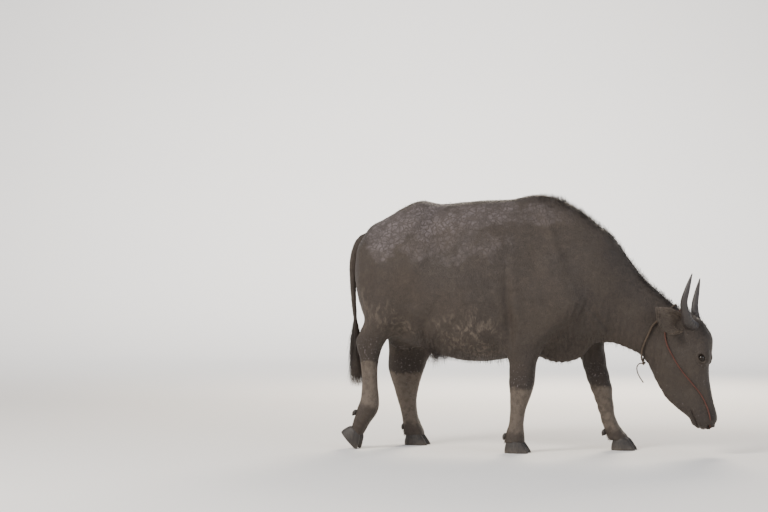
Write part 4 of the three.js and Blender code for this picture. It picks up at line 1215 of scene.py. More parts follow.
def ear_sheet(side):
    """The outer and the inner face of one ear, as rings from its root to its tip."""
    root = np.array((0.022, -0.026, side * 0.072))
    tip = np.array((-0.082, -0.135, side * 0.222))
    along = unit(tip - root)
    across = unit(np.array((1.0, 0, 0)) - along * along[0])
    opening = np.cross(along, across) * side
    lumps = Lumps(31)
    outer, inner = [], []
    for u in np.sin(np.linspace(0, math.pi / 2, EAR_RINGS + 1)):
        leaf = 0.3 + 0.7 * math.sin(math.pi * (0.06 + 0.94 * u) ** 1.1)
        half = EAR_WIDTH * leaf * math.sqrt(1.004 - u**4.4)
        cup = 1.45 + (0.5 - 1.45) * min(1, u * 1.25)
        radius = half / math.sin(cup)
        centre = root + (tip - root) * u + across * 0.026 * math.sin(math.pi * u)
        wall = min(0.0060 * (1 - 0.4 * u), radius * 0.45, half * 0.5)
        angles = np.linspace(-cup, cup, EAR_ARC + 1)
        edge = (np.abs(angles) / cup)[:, None]
        spots = np.stack((angles * radius, np.full_like(angles, u * 0.18), angles * 0), 1)
        ripple = 0.0022 * min(1.0, half / 0.030) * lumps.at(spots, 0.022)
        thick = wall * (1 - 0.72 * edge**3)

        def sheet(shrink):
            reach = radius - shrink + ripple[:, None] * edge
            return (centre + across * np.sin(angles)[:, None] * reach
                    + opening * (radius * 0.7 - np.cos(angles)[:, None] * reach))

        outer.append(HEAD_AXES.outward(sheet(0.0)))
        inner.append(HEAD_AXES.outward(sheet(thick)))
    return np.array(outer), np.array(inner)


def build_ear(name, side):
    """A shell of two faces, closed at its root and its tip."""
    outer, inner = ear_sheet(side)
    rings = np.concatenate((outer, inner[:, ::-1]), axis=1)
    sides = rings.shape[1]
    faces = ring_faces(len(rings), sides)
    for start in (0, (len(rings) - 1) * sides):
        for k in range(sides // 2 - 1):
            face = (start + k, start + k + 1, start + sides - 2 - k, start + sides - 1 - k)
            faces.append(face if start else face[::-1])
    ear = new_piece("ear_shell_" + name, rings.reshape(-1, 3), faces, ["ear_" + name])
    ear.data.materials.append(shared_material("buffalo_ear_with_painted_glow", ear_material))


CLAW_ROWS = [
    (0, -0.054, 0.002, 0.068, 0.028, 0, 1.8, 2.3),
    (0.014, -0.055, 0.002, 0.062, 0.028, 0, 1.8, 2.3),
    (0.034, -0.052, 0.000, 0.049, 0.0265, 0, 1.8, 2.3),
    (0.054, -0.046, -0.004, 0.035, 0.024, 0, 1.8, 2.3),
    (0.074, -0.036, -0.006, 0.018, 0.019, 0, 1.8, 2.3),
]
CLAW_TOP = 0.052
CLAW_DOME = 0.022
CLAW_SPREAD = 0.0305
CLAW_TURN = math.radians(4)
DEWCLAW_RADII = (0.011, 0.013, 0.019)
DEWCLAW_SPREAD = 0.024
# Middle of the sole, pitch of the sole in degrees, and the place of the dewclaws
FEET = {
    "front_right": ((0.020, -0.160, 0), 0, (-0.036, 0.082)),
    "front_left": ((0.499, 0.158, 0), 0, (0.404, 0.088)),
    "hind_left": ((-0.592, 0.150, 0), 0, (-0.656, 0.096)),
    "hind_right": ((-0.858, -0.155, 0.046), 48, (-0.826, 0.184)),
}
SIDES = (("right", -1), ("left", 1))


def foot_matrix(sole, pitch):
    """Where a foot's own frame lies, tipped forward by its pitch."""
    return Matrix.Translation(from_shoulder(*sole)) @ Matrix.Rotation(math.radians(pitch), 4, "Y")


def claw_rings(count=26, sides=40):
    """Rings of one claw in its own frame, from the sole up, with growth rings in its wall."""
    wall_heights = np.linspace(0.0, CLAW_TOP, count)
    dome_heights = CLAW_TOP + CLAW_DOME * np.sin(np.linspace(0.1, 1.5, 8))
    heights = np.concatenate((wall_heights, dome_heights))
    angles = np.linspace(0, 2 * math.pi, sides, endpoint=False)
    rings = []
    for height in heights:
        _, down, mid, up, half, _, upper, lower = smooth_stations(CLAW_ROWS, [height])[0]
        share = math.sqrt(max(0.0, 1 - (max(0.0, height - CLAW_TOP) / 0.0221) ** 2))
        wall = 1 + 0.018 * math.sin(height * 900) * (height < 0.05)
        power = np.where(np.sin(angles) >= 0, upper, lower)
        tall = np.where(np.sin(angles) >= 0, up - mid, mid - down)
        bow_x = np.sign(np.sin(angles)) * np.abs(np.sin(angles)) ** (2 / power)
        bow_y = np.sign(np.cos(angles)) * np.abs(np.cos(angles)) ** (2 / power)
        rings.append(np.stack((mid + tall * share * wall * bow_x, half * share * wall * bow_y,
                               np.full(sides, height)), axis=1))
    return np.array(rings)


def dewclaw_rings(centre, tilt):
    """Rings of one dewclaw, narrower below its middle."""
    wide_x, wide_y, tall = DEWCLAW_RADII
    around = np.linspace(0, 2 * math.pi, 20, endpoint=False)
    rings = []
    for i in range(1, 14):
        angle = math.pi * i / 14
        narrow = 1 - 0.25 * max(0, -math.cos(angle))
        rings.append([
            centre + tilt @ Vector((wide_x * math.cos(a) * math.sin(angle) * narrow,
                                    wide_y * math.sin(a) * math.sin(angle) * narrow,
                                    tall * math.cos(angle)))
            for a in around])
    return rings


def build_claws(foot):
    """The two claws and the two dewclaws of one foot."""
    sole, pitch, (dew_x, dew_z) = FEET[foot]
    frame_of_foot = foot_matrix(sole, pitch)
    low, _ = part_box("claw_" + foot + "_left")
    for name, side in SIDES:
        aside = Matrix.Translation((0, side * CLAW_SPREAD, 0))
        place = frame_of_foot @ aside @ Matrix.Rotation(side * CLAW_TURN, 4, "Z")
        basis = np.array(place)
        rings = claw_rings() @ basis[:3, :3].T + basis[:3, 3]
        rings[..., 2] = np.maximum(rings[..., 2], low.z)
        places, faces = closed_rings(rings)
        claw = new_piece("hoof_" + foot + "_" + name, places, faces, ["claw_" + foot + "_" + name])
        claw.data.materials.append(shared_material("buffalo_hoof", hoof_material))
        centre = Vector(from_shoulder(dew_x, sole[1] + side * DEWCLAW_SPREAD, dew_z))
        tilt = Matrix.Rotation(math.radians(18 + pitch * 0.35), 4, "Y")
        places, faces = closed_rings(dewclaw_rings(centre, tilt))
        dew = new_piece("dew_" + foot + "_" + name, places, faces, ["dewclaw_" + foot + "_" + name])
        dew.data.materials.append(shared_material("buffalo_hoof", hoof_material))


# Ropes


def twisted_rope(line, radius, pitch, closed=False, strands=3, sides=18):
    """Points and faces of a rope of twisted strands along a line."""
    line = np.asarray(line, float)
    count = len(line)
    if closed:
        along = unit(np.roll(line, -1, 0) - np.roll(line, 1, 0))
    else:
        along = unit(np.gradient(line, axis=0))
    wide = unit(np.cross(along[0], (0.31, 0.87, 0.39)))
    steps = np.linalg.norm(np.diff(line, axis=0, append=line[:1]), axis=1)
    length = np.concatenate(((0,), np.cumsum(steps)))[:count]
    whole = length[-1] + (steps[-1] if closed else 0)
    turns_total = round(whole / pitch) if closed else whole / pitch
    wides = []
    for i in range(count):
        wide = unit(wide - along[i] * (wide @ along[i]))
        wides.append(wide)
    first, last = wides[0], unit(wides[-1] - along[0] * (wides[-1] @ along[0]))
    drift = math.atan2(np.cross(first, last) @ along[0], first @ last) if closed else 0.0
    rings = []
    angles = np.linspace(0, 2 * math.pi, sides, endpoint=False)
    for i in range(count):
        share = length[i] / whole
        tall = np.cross(along[i], wides[i])
        turned = angles - drift * share
        twist = 2 * math.pi * turns_total * share / strands
        lobe = 0.80 + 0.20 * np.abs(np.cos(strands * (angles - twist) / 2))
        rings.append(line[i] + radius * lobe[:, None] * (
            np.cos(turned)[:, None] * wides[i] + np.sin(turned)[:, None] * tall))
    if closed:
        return np.vstack(rings), ring_faces(count, sides, closed=True)
    return closed_rings(rings)


def skin_tree():
    """The skin as a tree that finds where a ray leaves it."""
    mesh = bpy.data.objects["skin"].data
    return BVHTree.FromPolygons([v.co for v in mesh.vertices], [p.vertices[:] for p in mesh.polygons])


def laid_on_skin(tree, rays, lift):
    """Places just above the skin, where rays from the head's middle plane leave it."""
    places = []
    for t, r, s, *way in rays:
        start = Vector(HEAD_AXES.outward((t, r, s)))
        towards = Vector(unit(HEAD_AXES.turned(way)))
        hit = tree.ray_cast(start, towards)[0]
        if hit is None:
            raise RuntimeError("a rope ray misses the skin")
        places.append(hit + towards * lift)
    return np.array(places)


# The loop round the neck in the head's own axes: its middle, and its ways down and up
LOOP_MIDDLE = (-0.001, -0.176)
LOOP_DOWN = (0.806, -0.592)
LOOP_UP = (-0.6, 0.8)
LOOP_LIFT = 0.0020  # room for the short hair under the rope
LOOP_SLACK = np.array((0.015, 0, -0.028))
SLACK_SPREAD = math.radians(20)
NECK_ROPE_STEPS, END_STEPS, NOSE_ROPE_STEPS = 420, 90, 620
# Rays of the nose rope's left half in the head's own axes: start and way, from nostril to nape
NOSE_ROPE_RAYS = [
    (0.520, 0.006, 0, 0.35, 0.1, 1), (0.486, 0.014, 0, 0, 0.1, 1), (0.430, 0.014, 0, 0, 0, 1),
    (0.370, -0.004, 0, 0, 0, 1), (0.305, -0.038, 0, 0, 0, 1), (0.240, -0.074, 0, 0, 0, 1),
    (0.165, -0.104, 0, 0, 0, 1), (0.085, -0.124, 0, 0, 0, 1), (0.030, -0.118, 0, -0.2, 0.05, 1),
    (0.014, -0.104, 0, -0.45, 0.3, 0.85), (0.010, -0.095, 0, -0.6, 0.5, 0.55),
    (0.010, -0.090, 0, -0.72, 0.62, 0.2),
]
# The free end's route, measured from the middle of the knot
END_ROUTE = [
    (-0.008, 0, 0), (-0.024, -0.003, -0.005), (-0.033, -0.005, -0.022),
    (-0.030, -0.004, -0.047), (-0.017, 0.001, -0.075), (-0.002, 0.004, -0.098),
]


def loop_line(tree, count):
    """The neck rope's line round the neck, slack under the throat."""
    angles = np.linspace(0, 2 * math.pi, 24, endpoint=False)
    rays = []
    for angle in angles:
        down, back = LOOP_DOWN if math.cos(angle) > 0 else LOOP_UP
        share = abs(math.cos(angle))
        rays.append((*LOOP_MIDDLE, 0, down * share, back * share, math.sin(angle)))
    points = laid_on_skin(tree, rays, settings().rope_radius + LOOP_LIFT)
    from_throat = np.minimum(angles, 2 * math.pi - angles) / SLACK_SPREAD
    points += np.exp(-(from_throat**2))[:, None] * LOOP_SLACK
    return curve_through(points, count, closed=True)


def knot_of_end():
    """The middle of the knot, from the box of the free end's solid."""
    low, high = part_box("neck_rope_end")
    places = np.array(END_ROUTE)
    radius = settings().end_radius
    back = low.x + radius - places[:, 0].min()
    level = (low.y + high.y - places[:, 1].min() - places[:, 1].max()) / 2
    return np.array((back, level, high.z - radius))


def build_neck_rope():
    """The loop round the neck and the two turns of its knot."""
    ours = settings()
    tree = skin_tree()
    line = loop_line(tree, NECK_ROPE_STEPS)
    knot = knot_of_end()
    parts = [twisted_rope(line, ours.rope_radius, 0.020, closed=True)]
    for tilt, reach in ((0.2, 0.0075), (1.5, 0.0070)):
        angles = np.linspace(0, 2 * math.pi, 60, endpoint=False)
        cosine, sine = math.cos(tilt), math.sin(tilt)
        ring = np.stack((
            reach * np.cos(angles) * cosine - 0.3 * reach * np.sin(angles) * sine,
            reach * np.sin(angles),
            reach * np.cos(angles) * sine), axis=1)
        parts.append(twisted_rope(knot + ring, 0.0044, 0.018, closed=True))
    places, faces = joined_meshes(parts)
    rope = new_piece("rope_round_neck", places, faces, ["neck_rope"])
    rope.data.materials.append(rope_material("neck_rope_fibre", ours.rope_colour))


def build_rope_end():
    """The rope's free end, which hangs from the knot."""
    ours = settings()
    knot = knot_of_end()
    line = curve_through([knot + np.array(step) for step in END_ROUTE], END_STEPS)
    places, faces = twisted_rope(line, ours.end_radius, 0.012)
    end = new_piece("rope_free_end", places, faces, ["neck_rope_end"])
    end.data.materials.append(bpy.data.materials["neck_rope_fibre"])


def build_nose_rope():
    """The cord from nostril to nostril, up both cheeks and over the nape."""
    ours = settings()
    tree = skin_tree()
    mirrored = [(t, r, -s, dt, dr, -ds) for t, r, s, dt, dr, ds in NOSE_ROPE_RAYS]
    points = laid_on_skin(tree, NOSE_ROPE_RAYS + mirrored[::-1], ours.nose_rope_radius + 0.002)
    line = curve_through(points, NOSE_ROPE_STEPS)
    places, faces = twisted_rope(line, ours.nose_rope_radius, 0.011, sides=12)
    rope = new_piece("rope_over_nose", places, faces, ["nose_rope"])
    rope.data.materials.append(rope_material("nose_rope_fibre", ours.nose_rope_colour))


# Coat


PATCH = 0.003  # size of a tuft's patch on the unwrapped hide
CREST_TUFTS, BELLY_TUFTS, FACE_TUFTS = 6500, 4600, 4200
EAR_HAIRS, SWITCH_HAIRS = 2600, 3200


def hide_unwrap(places, outward):
    """Where each place lies on the hide laid flat, with the right side on the map's left half."""
    low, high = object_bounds()
    across = (places[:, 0] - low[0]) / (high[0] - low[0])
    level = (places[:, 2] - low[2]) / (high[2] - low[2])
    left = outward[:, 1] > 0
    return np.stack((0.01 + 0.48 * across + 0.5 * left, 0.01 + 0.98 * level), axis=1)


class Pelt:
    """Random places on the skin, each with its way out."""

    def __init__(self, seed):
        mesh = bpy.data.objects["skin"].data
        mesh.calc_loop_triangles()
        count = len(mesh.loop_triangles)
        corners = np.empty(count * 3, np.int32)
        mesh.loop_triangles.foreach_get("vertices", corners)
        self.corners = corners.reshape(-1, 3)
        places = np.empty(len(mesh.vertices) * 3)
        mesh.vertices.foreach_get("co", places)
        self.places = places.reshape(-1, 3)
        a, b, c = (self.places[self.corners[:, i]] for i in range(3))
        normal = np.cross(b - a, c - a)
        self.area = np.linalg.norm(normal, axis=1) / 2
        self.outward = unit(normal)
        self.middle = (a + b + c) / 3
        self.draw = np.random.default_rng(seed)

    def scatter(self, count, density):
        """Roots and outward ways of count tufts, spread by a density on the skin's triangles."""
        weight = self.area * np.clip(density(self.middle, self.outward), 0, None)
        chosen = self.draw.choice(len(weight), count, p=weight / weight.sum())
        share = self.draw.random((count, 2))
        over = share.sum(1) > 1
        share[over] = 1 - share[over]
        a, b, c = (self.places[self.corners[chosen, i]] for i in range(3))
        roots = a + (b - a) * share[:, :1] + (c - a) * share[:, 1:]
        return roots, self.outward[chosen]


def lie_of_coat(places, outward):
    """The way the hair lies: back along the body, down the legs and the sides, and down the face."""
    x, _, z = (places - BODY_AXES.origin).T
    fall = -0.45 - 0.9 * np.clip((0.75 - z) / 0.35, 0, 1)
    way = np.stack((-np.ones(len(x)), np.zeros(len(x)), fall), axis=1)
    shank = np.clip((0.58 - z) / 0.12, 0, 1)[:, None] * (x < 0.74)[:, None]
    way = way * (1 - shank) + np.array((-0.15, 0, -1)) * shank
    face = np.clip((x - 0.70) / 0.05, 0, 1)[:, None]
    way = way * (1 - face) + HEAD_AXES.turned((1, 0, 0)) * face
    return flat_on_skin(way, outward)


def flat_on_skin(ways, outward):
    """Ways turned so that they lie along the skin."""
    return unit(ways - outward * (ways * outward).sum(1)[:, None])


def tuft_mesh(roots, outward, way, length, width, lift, bend=None):
    """Flat tapered tufts that leave the skin along their lie and curve over."""
    count = len(roots)
    side = unit(np.cross(way, outward))
    length, width, lift = (np.broadcast_to(value, count)[:, None] for value in (length, width, lift))
    start = roots - outward * 0.0015
    middle = roots + way * length * 0.5 + outward * length * lift * 0.55
    tip = roots + way * length + outward * length * lift * 0.8
    if bend is not None:
        middle = middle + bend * length * 0.2
        tip = tip + bend * length * 0.6
    places = np.stack((start - side * width / 2, start + side * width / 2,
                       middle - side * width * 0.36, middle + side * width * 0.36, tip), axis=1)
    first = np.arange(count)[:, None] * 5
    quads = first + np.array((0, 1, 3, 2))
    points = first + np.array((2, 3, 4))
    return places.reshape(-1, 3), quads, points


def build_coat_piece(name, slot, roots, outward, places, quads, points, material):
    """Joins tufts into one mesh whose baking map gives each tuft a small patch at its root."""
    piece = new_piece(name, places, [*quads, *points])
    mesh = piece.data
    corner = np.array(((0, 0), (1, 0), (0, 0.6), (1, 0.6), (0.5, 1))) * PATCH
    spots = hide_unwrap(roots, outward)
    flat = (spots[:, None] + corner[None]).reshape(-1, 2)
    loops = np.empty(len(mesh.loops), np.int32)
    mesh.loops.foreach_get("vertex_index", loops)
    unwrap = mesh.uv_layers.new(name="OFBake")
    unwrap.data.foreach_set("uv", flat[loops].ravel())
    mesh.materials.append(material)
    return piece


def bareness(places):
    """How far a place is on the face or on a shank, where the hair is shortest."""
    x, _, z = (places - BODY_AXES.origin).T
    face = np.clip((x - 0.72) / 0.05, 0, 1)
    return np.maximum(face, np.clip((0.45 - z) / 0.1, 0, 1))


def build_short_coat():
    """Short hair that lies flat over the whole body, in two meshes."""
    ours = settings()
    pelt = Pelt(101)
    material = coat_material("short_coat_hair", 0.35)
    count = ours.body_hairs // 2
    for name, sign in (("near", -1), ("far", 1)):
        roots, outward = pelt.scatter(count, lambda p, n: (1 - 0.15 * bareness(p)) * (p[:, 1] * sign > 0))
        small = 1 - 0.45 * bareness(roots)
        way = lie_of_coat(roots, outward) + 0.28 * pelt.draw.normal(size=roots.shape)
        length = (0.010 + 0.010 * pelt.draw.random(count)) * small
        built = tuft_mesh(roots, outward, flat_on_skin(way, outward), length, 0.0009 * small, 0.10)
        build_coat_piece("short_coat_" + name, "skin", roots, outward, *built, material)


def crest_density(places, outward):
    """Along the top of the neck and the withers, and thinly along the back."""
    x, y, _ = (places - BODY_AXES.origin).T
    middle = 0.04 * np.clip((x - 0.3) / 0.5, 0, 1)
    top = np.clip((outward[:, 2] - 0.30) / 0.4, 0, 1) * np.exp(-(((y - middle) / 0.050) ** 2))
    neck = np.clip((x - 0.02) / 0.14, 0, 1) * (x < 0.90)
    back = 0.16 * np.clip((x + 0.80) / 0.2, 0, 1)
    return top * (neck + back)


def belly_density(places, outward):
    """Under the belly, thickest at the flank, and thinly under the throat."""
    x, _, z = (places - BODY_AXES.origin).T
    low = np.clip((-outward[:, 2] - 0.1) / 0.5, 0, 1)
    trunk = (z > 0.40) & (z < 0.62) & (x > -0.52) & (x < 0.45)
    flank = np.exp(-(((x + 0.445) / 0.045) ** 2)) * (z < 0.62) * (z > 0.40)
    throat = (x > 0.42) & (x < 0.80) & (z > 0.40)
    return low * (0.55 * trunk + 3.0 * flank + 0.3 * throat)


def build_crest_fringe(material):
    """Bristles in clumps that lean back, along the crest of the neck, the withers and the back."""
    pelt = Pelt(202)
    clumps, lean = Lumps(41), Lumps(42)
    roots, outward = pelt.scatter(CREST_TUFTS, crest_density)
    x = roots[:, 0] - BODY_AXES.origin[0]
    tall = np.clip((x - 0.02) / 0.20, 0.30, 1)
    bunch = clumps.at(roots, 0.017)
    way = np.array((-0.42, 0, 0.42)) + (0.55 * tall[:, None]) * outward
    leaning = 0.30 * lean.at(roots, 0.022)[:, None] * (1, 0.6, 0)
    way = unit(way + leaning + 0.14 * pelt.draw.normal(size=way.shape))
    length = (0.010 + 0.025 * np.clip(0.4 + 1.2 * bunch, 0, 1) + 0.006 * pelt.draw.random(len(roots))) * tall
    built = tuft_mesh(roots, outward, way, length, 0.0015, 0.12, np.tile((-0.30, 0, -0.10), (len(roots), 1)))
    build_coat_piece("crest_fringe", "hair", roots, outward, *built, material)


def build_belly_wisps(material):
    """Hair that hangs from the belly, with long wisps at the flank."""
    pelt = Pelt(203)
    clumps = Lumps(43)
    roots, outward = pelt.scatter(BELLY_TUFTS, belly_density)
    x = roots[:, 0] - BODY_AXES.origin[0]
    flank = np.exp(-(((x + 0.445) / 0.050) ** 2)) + 0.6 * np.exp(-(((x + 0.090) / 0.020) ** 2))
    bunch = np.clip(0.35 + clumps.at(roots, 0.016), 0, 1)
    way = unit(np.array((-0.12, 0, -1.0)) + 0.16 * pelt.draw.normal(size=roots.shape))
    length = 0.010 + 0.012 * pelt.draw.random(len(roots)) + (0.010 + 0.080 * flank) * bunch
    bend = np.tile((0.18, 0, 0.05), (len(roots), 1)) + 0.10 * pelt.draw.normal(size=roots.shape)
    built = tuft_mesh(roots, outward, way, length, 0.0011, 0.04, bend)
    build_coat_piece("belly_wisps", "hair", roots, outward, *built, material)


def build_face_tufts(material):
    """A tuft between the horns, a collar of hair round each horn's root, and hair behind the feet."""
    pelt = Pelt(204)

    def density(places, outward):
        t, r, s = HEAD_AXES.inward(places).T
        poll = np.exp(-((t + 0.005) / 0.055) ** 2 - (s / 0.050) ** 2) * (r > 0)
        collar = np.exp(-((t - 0.045) / 0.040) ** 2 - ((np.abs(s) - 0.085) / 0.022) ** 2) * (r > -0.03)
        heel = (places[:, 2] > 0.05) * (places[:, 2] < 0.11) * np.clip(-outward[:, 0], 0, 1)
        return 1.5 * poll + collar + 0.5 * heel

    roots, outward = pelt.scatter(FACE_TUFTS, density)
    t, _, _ = HEAD_AXES.inward(roots).T
    face = roots[:, 0] > 0.55
    way = np.where(face[:, None], HEAD_AXES.turned((0.9, 0, 0)) + 0.30 * outward, np.array((-0.3, 0, -1.0)))
    way = unit(way + 0.30 * pelt.draw.normal(size=way.shape))
    length = np.where(face, 0.010 + 0.014 * pelt.draw.random(len(roots)) * (t < 0.03), 0.012)
    built = tuft_mesh(roots, outward, way, length, 0.0010, 0.10)
    build_coat_piece("face_tufts", "hair", roots, outward, *built, material)


def build_long_coat():
    """The fringe on the crest, the wisps under the belly, and the tufts of the head and feet."""
    material = coat_material("long_coat_hair", 0.75)
    build_crest_fringe(material)
    build_belly_wisps(material)
    build_face_tufts(material)


def build_ear_hair():
    """Pale hairs inside each ear, longest along its edges; their paleness is partly the hair's own tone and
    partly a painted glow standing in for the back light on the ear's rim.
    """
    draw = np.random.default_rng(303)
    material, nodes, shader = new_material("ear_hair", 0.6)
    # Partly painted glow: the brightened tan stands in for the back light catching the ear's hairs, on top of
    # their own pale tone.
    pale = nodes.mix(nodes.spread(nodes.noise(object_place(nodes), 300.0), 0.35, 0.65),
                     opaque(settings().dust_colour), opaque(tuple(2.2 * c for c in settings().shank_colour)))
    nodes.feed(shader.inputs["Base Color"], pale)
    for name, side in SIDES:
        _, inner = ear_sheet(side)
        count = EAR_HAIRS
        u = 0.84 * draw.random(count) ** 0.8
        v = draw.random(count)
        edge = draw.random(count) < 0.55
        v = np.where(edge, np.where(v < 0.5, v * 0.16, 1 - (1 - v) * 0.16), v)
        i = np.clip((np.arcsin(u) / (math.pi / 2) * EAR_RINGS).astype(int), 1, EAR_RINGS - 1)
        j = np.clip((v * EAR_ARC).astype(int), 0, EAR_ARC - 1)
        roots = inner[i, j] + (inner[i, j + 1] - inner[i, j]) * draw.random((count, 1))
        across = unit(inner[i, j + 1] - inner[i, j])
        along = unit(inner[np.minimum(i + 1, EAR_RINGS), j] - inner[i, j])
        outward = unit(np.cross(along, across)) * side
        middle = (inner[i, 0] + inner[i, -1]) / 2
        way = unit(along + 0.8 * unit(middle - roots) + 0.3 * draw.normal(size=roots.shape))
        length = 0.010 + 0.020 * draw.random(count) * np.where(edge, 1.0, 0.6)
        built = tuft_mesh(roots, outward, way, length, 0.0009, 0.15)
        build_coat_piece("ear_hair_" + name, "hair", roots, outward, *built, material)


def build_tail_switch():
    """Long dark hair that hides the end of the tail."""
    draw = np.random.default_rng(404)
    line = tail_line(60)
    top, end = line[46], line[-1]
    count = SWITCH_HAIRS
    share = draw.random(count)
    centres = top + (end - top) * share[:, None]
    turn = draw.random(count) * 2 * math.pi
    outward = np.stack((np.cos(turn), np.sin(turn), np.zeros(count)), axis=1)
    roots = centres + outward * 0.011
    way = unit(np.array((0.02, 0.03, -1.0)) + 0.16 * outward + 0.06 * draw.normal(size=roots.shape))
    low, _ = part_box("tail_switch")
    room = (roots[:, 2] - low.z) / 1.05
    length = np.minimum(room, 0.13 + 0.20 * draw.random(count) * (0.4 + 0.6 * share))
    bend = -0.10 * outward + 0.03 * draw.normal(size=roots.shape)
    built = tuft_mesh(roots, outward, way, length, 0.0022, 0.0, bend)
    material = coat_material("tail_hair", 1.0)
    piece = build_coat_piece("tail_hair", "hair", roots, outward, *built, material)
    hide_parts("tail_switch")


# Stage


CAMERA_PLACE = (2.5109, -10.721, 0.985)
CAMERA_TURN = 17.0
CAMERA_LENS = 101.48
FLOOR_START, FLOOR_HALF = -26.0, 30.0
WALL, BEND, WALL_TOP = 7.0, 17.0, 19.0  # where the floor bends up, how widely, and how high it ends
FLOOR_COLOUR = (0.74, 0.72, 0.69)
SKY_COLOUR, SKY_STRENGTH = (0.86, 0.90, 1.0), 0.72
BODY_MIDDLE = (0, 0, 0.7)
# Name, place, size, power, colour and aim
LIGHTS = [
    ("key", (-3.2, -5.0, 4.6), 2.6, 560, (1.0, 0.95, 0.88), BODY_MIDDLE),
    ("back", (-0.6, 5.6, 3.6), 2.2, 520, (1.0, 0.88, 0.72), BODY_MIDDLE),
    ("fill", (5.5, -4.0, 2.5), 4.0, 150, (0.90, 0.95, 1.0), BODY_MIDDLE),
    ("wash", (-3.0, 9.0, 9.0), 9.0, 2600, (1.0, 0.97, 0.93), (-6.0, 19.0, 2.0)),
]


def build_stage():
    """A pale floor with a curved backdrop, soft lights and the camera."""
    scene = bpy.context.scene
    profile = [(FLOOR_START, 0.0), (WALL, 0.0)]
    profile += [
        (WALL + BEND * math.sin(angle), BEND - BEND * math.cos(angle))
        for angle in np.linspace(0.1, math.pi / 2, 12)]
    profile.append((WALL + BEND, WALL_TOP))
    mesh = bmesh.new()
    turn = math.radians(CAMERA_TURN)
    cosine, sine = math.cos(turn), math.sin(turn)
    rows = []
    for x in (-FLOOR_HALF, FLOOR_HALF):
        rows.append([
            mesh.verts.new((x * cosine - y * sine, x * sine + y * cosine, z))
            for y, z in profile])
    for i in range(len(profile) - 1):
        mesh.faces.new((rows[0][i], rows[1][i], rows[1][i + 1], rows[0][i + 1]))
    data = bpy.data.meshes.new("floor")
    mesh.to_mesh(data)
    mesh.free()
    data.shade_smooth()
    floor = bpy.data.objects.new("floor", data)
    scene.collection.objects.link(floor)
    material, _, shader = new_material("pale_floor", 0.9)
    shader.inputs["Base Color"].default_value = opaque(FLOOR_COLOUR)
    data.materials.append(material)
    floor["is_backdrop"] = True
    world = bpy.data.worlds.new("studio")
    world.use_nodes = True
    background = world.node_tree.nodes["Background"]
    background.inputs["Color"].default_value = opaque(SKY_COLOUR)
    background.inputs["Strength"].default_value = SKY_STRENGTH
    scene.world = world
    for light in LIGHTS:
        add_light(*light)
    camera = bpy.data.objects.new("camera", bpy.data.cameras.new("camera"))
    camera.data.sensor_width = 36
    camera.data.lens = CAMERA_LENS
    camera.location = CAMERA_PLACE
    camera.rotation_euler = (math.radians(90), 0, math.radians(CAMERA_TURN))
    scene.collection.objects.link(camera)
    scene.camera = camera


def add_light(name, place, size, power, colour, aim):
    """A round soft lamp turned towards its aim."""
    light = bpy.data.lights.new(name, "AREA")
    light.shape = "DISK"
    light.size = size
    light.energy = power
    light.color = colour
    lamp = bpy.data.objects.new(name, light)
    lamp.location = place
    towards = Vector(aim) - Vector(place)
    lamp.rotation_euler = towards.to_track_quat("-Z", "Y").to_euler()
    bpy.context.scene.collection.objects.link(lamp)


# Operators


class BUFFALO_OT_stage(bpy.types.Operator):
    """Set up the floor, the lights and the camera"""

    bl_idname = "buffalo.stage"
    bl_label = "Stage"

    def execute(self, context):
        build_stage()
        return {"FINISHED"}


class BUFFALO_OT_skin(bpy.types.Operator):
    """Build the one skin over all the flesh"""

    bl_idname = "buffalo.skin"
    bl_label = "Skin"

    def execute(self, context):
        build_skin()
        return {"FINISHED"}


class BUFFALO_OT_eyes(bpy.types.Operator):
    """Build both eyes"""

    bl_idname = "buffalo.eyes"
    bl_label = "Eyes"

    def execute(self, context):
        for name, side in SIDES:
            build_eye(name, side)
        return {"FINISHED"}


class BUFFALO_OT_horns(bpy.types.Operator):
    """Build both horns"""

    bl_idname = "buffalo.horns"
    bl_label = "Horns"

    def execute(self, context):
        for name, side in SIDES:
            build_horn(name, side)
        return {"FINISHED"}


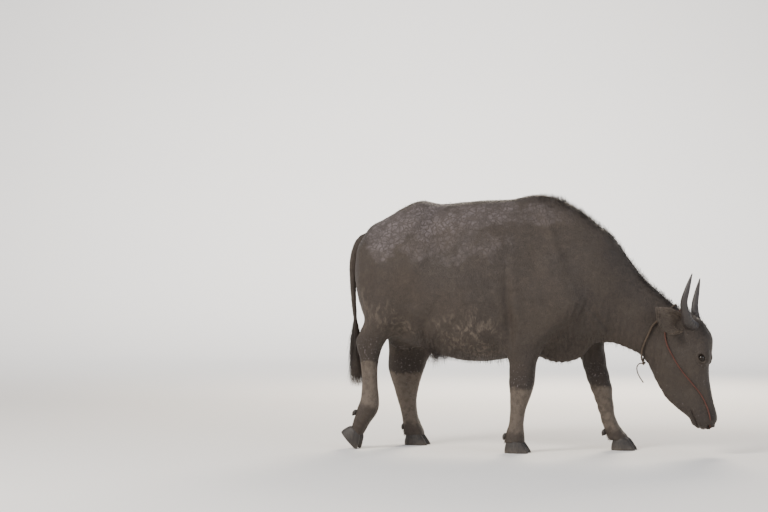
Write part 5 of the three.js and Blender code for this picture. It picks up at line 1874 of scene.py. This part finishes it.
class BUFFALO_OT_ears(bpy.types.Operator):
    """Build both ears and the hair inside them"""

    bl_idname = "buffalo.ears"
    bl_label = "Ears"

    def execute(self, context):
        for name, side in SIDES:
            build_ear(name, side)
        build_ear_hair()
        return {"FINISHED"}


class BUFFALO_OT_hooves(bpy.types.Operator):
    """Build the claws and dewclaws of the four feet"""

    bl_idname = "buffalo.hooves"
    bl_label = "Hooves"

    def execute(self, context):
        for foot in FEET:
            build_claws(foot)
        return {"FINISHED"}


class BUFFALO_OT_ropes(bpy.types.Operator):
    """Build the neck rope with its free end, and the nose rope"""

    bl_idname = "buffalo.ropes"
    bl_label = "Ropes"

    def execute(self, context):
        build_neck_rope()
        build_rope_end()
        build_nose_rope()
        return {"FINISHED"}


class BUFFALO_OT_coat(bpy.types.Operator):
    """Grow the short coat, the crest, the belly wisps, the tufts of head and feet, and the tail's switch"""

    bl_idname = "buffalo.coat"
    bl_label = "Coat"

    def execute(self, context):
        build_short_coat()
        build_long_coat()
        build_tail_switch()
        return {"FINISHED"}


OPERATORS = (
    BUFFALO_OT_stage, BUFFALO_OT_skin, BUFFALO_OT_eyes, BUFFALO_OT_horns,
    BUFFALO_OT_ears, BUFFALO_OT_hooves, BUFFALO_OT_ropes, BUFFALO_OT_coat,
)


class BUFFALO_PT_panel(bpy.types.Panel):
    bl_idname = "BUFFALO_PT_panel"
    bl_label = "Water buffalo"
    bl_space_type = "VIEW_3D"
    bl_region_type = "UI"
    bl_category = "Buffalo"

    def draw(self, context):
        for name in BuffaloSettings.__annotations__:
            self.layout.prop(context.scene.buffalo, name)
        for operator in OPERATORS:
            self.layout.operator(operator.bl_idname)


CLASSES = (BuffaloSettings, *OPERATORS, BUFFALO_PT_panel)


def register():
    for cls in CLASSES:
        bpy.utils.register_class(cls)
    bpy.types.Scene.buffalo = PointerProperty(type=BuffaloSettings)


def unregister():
    del bpy.types.Scene.buffalo
    for cls in reversed(CLASSES):
        bpy.utils.unregister_class(cls)


def main():
    register()
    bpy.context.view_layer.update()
    for operator in OPERATORS:
        getattr(bpy.ops.buffalo, operator.bl_idname.split(".")[1])()


if __name__ == "__main__":
    main()
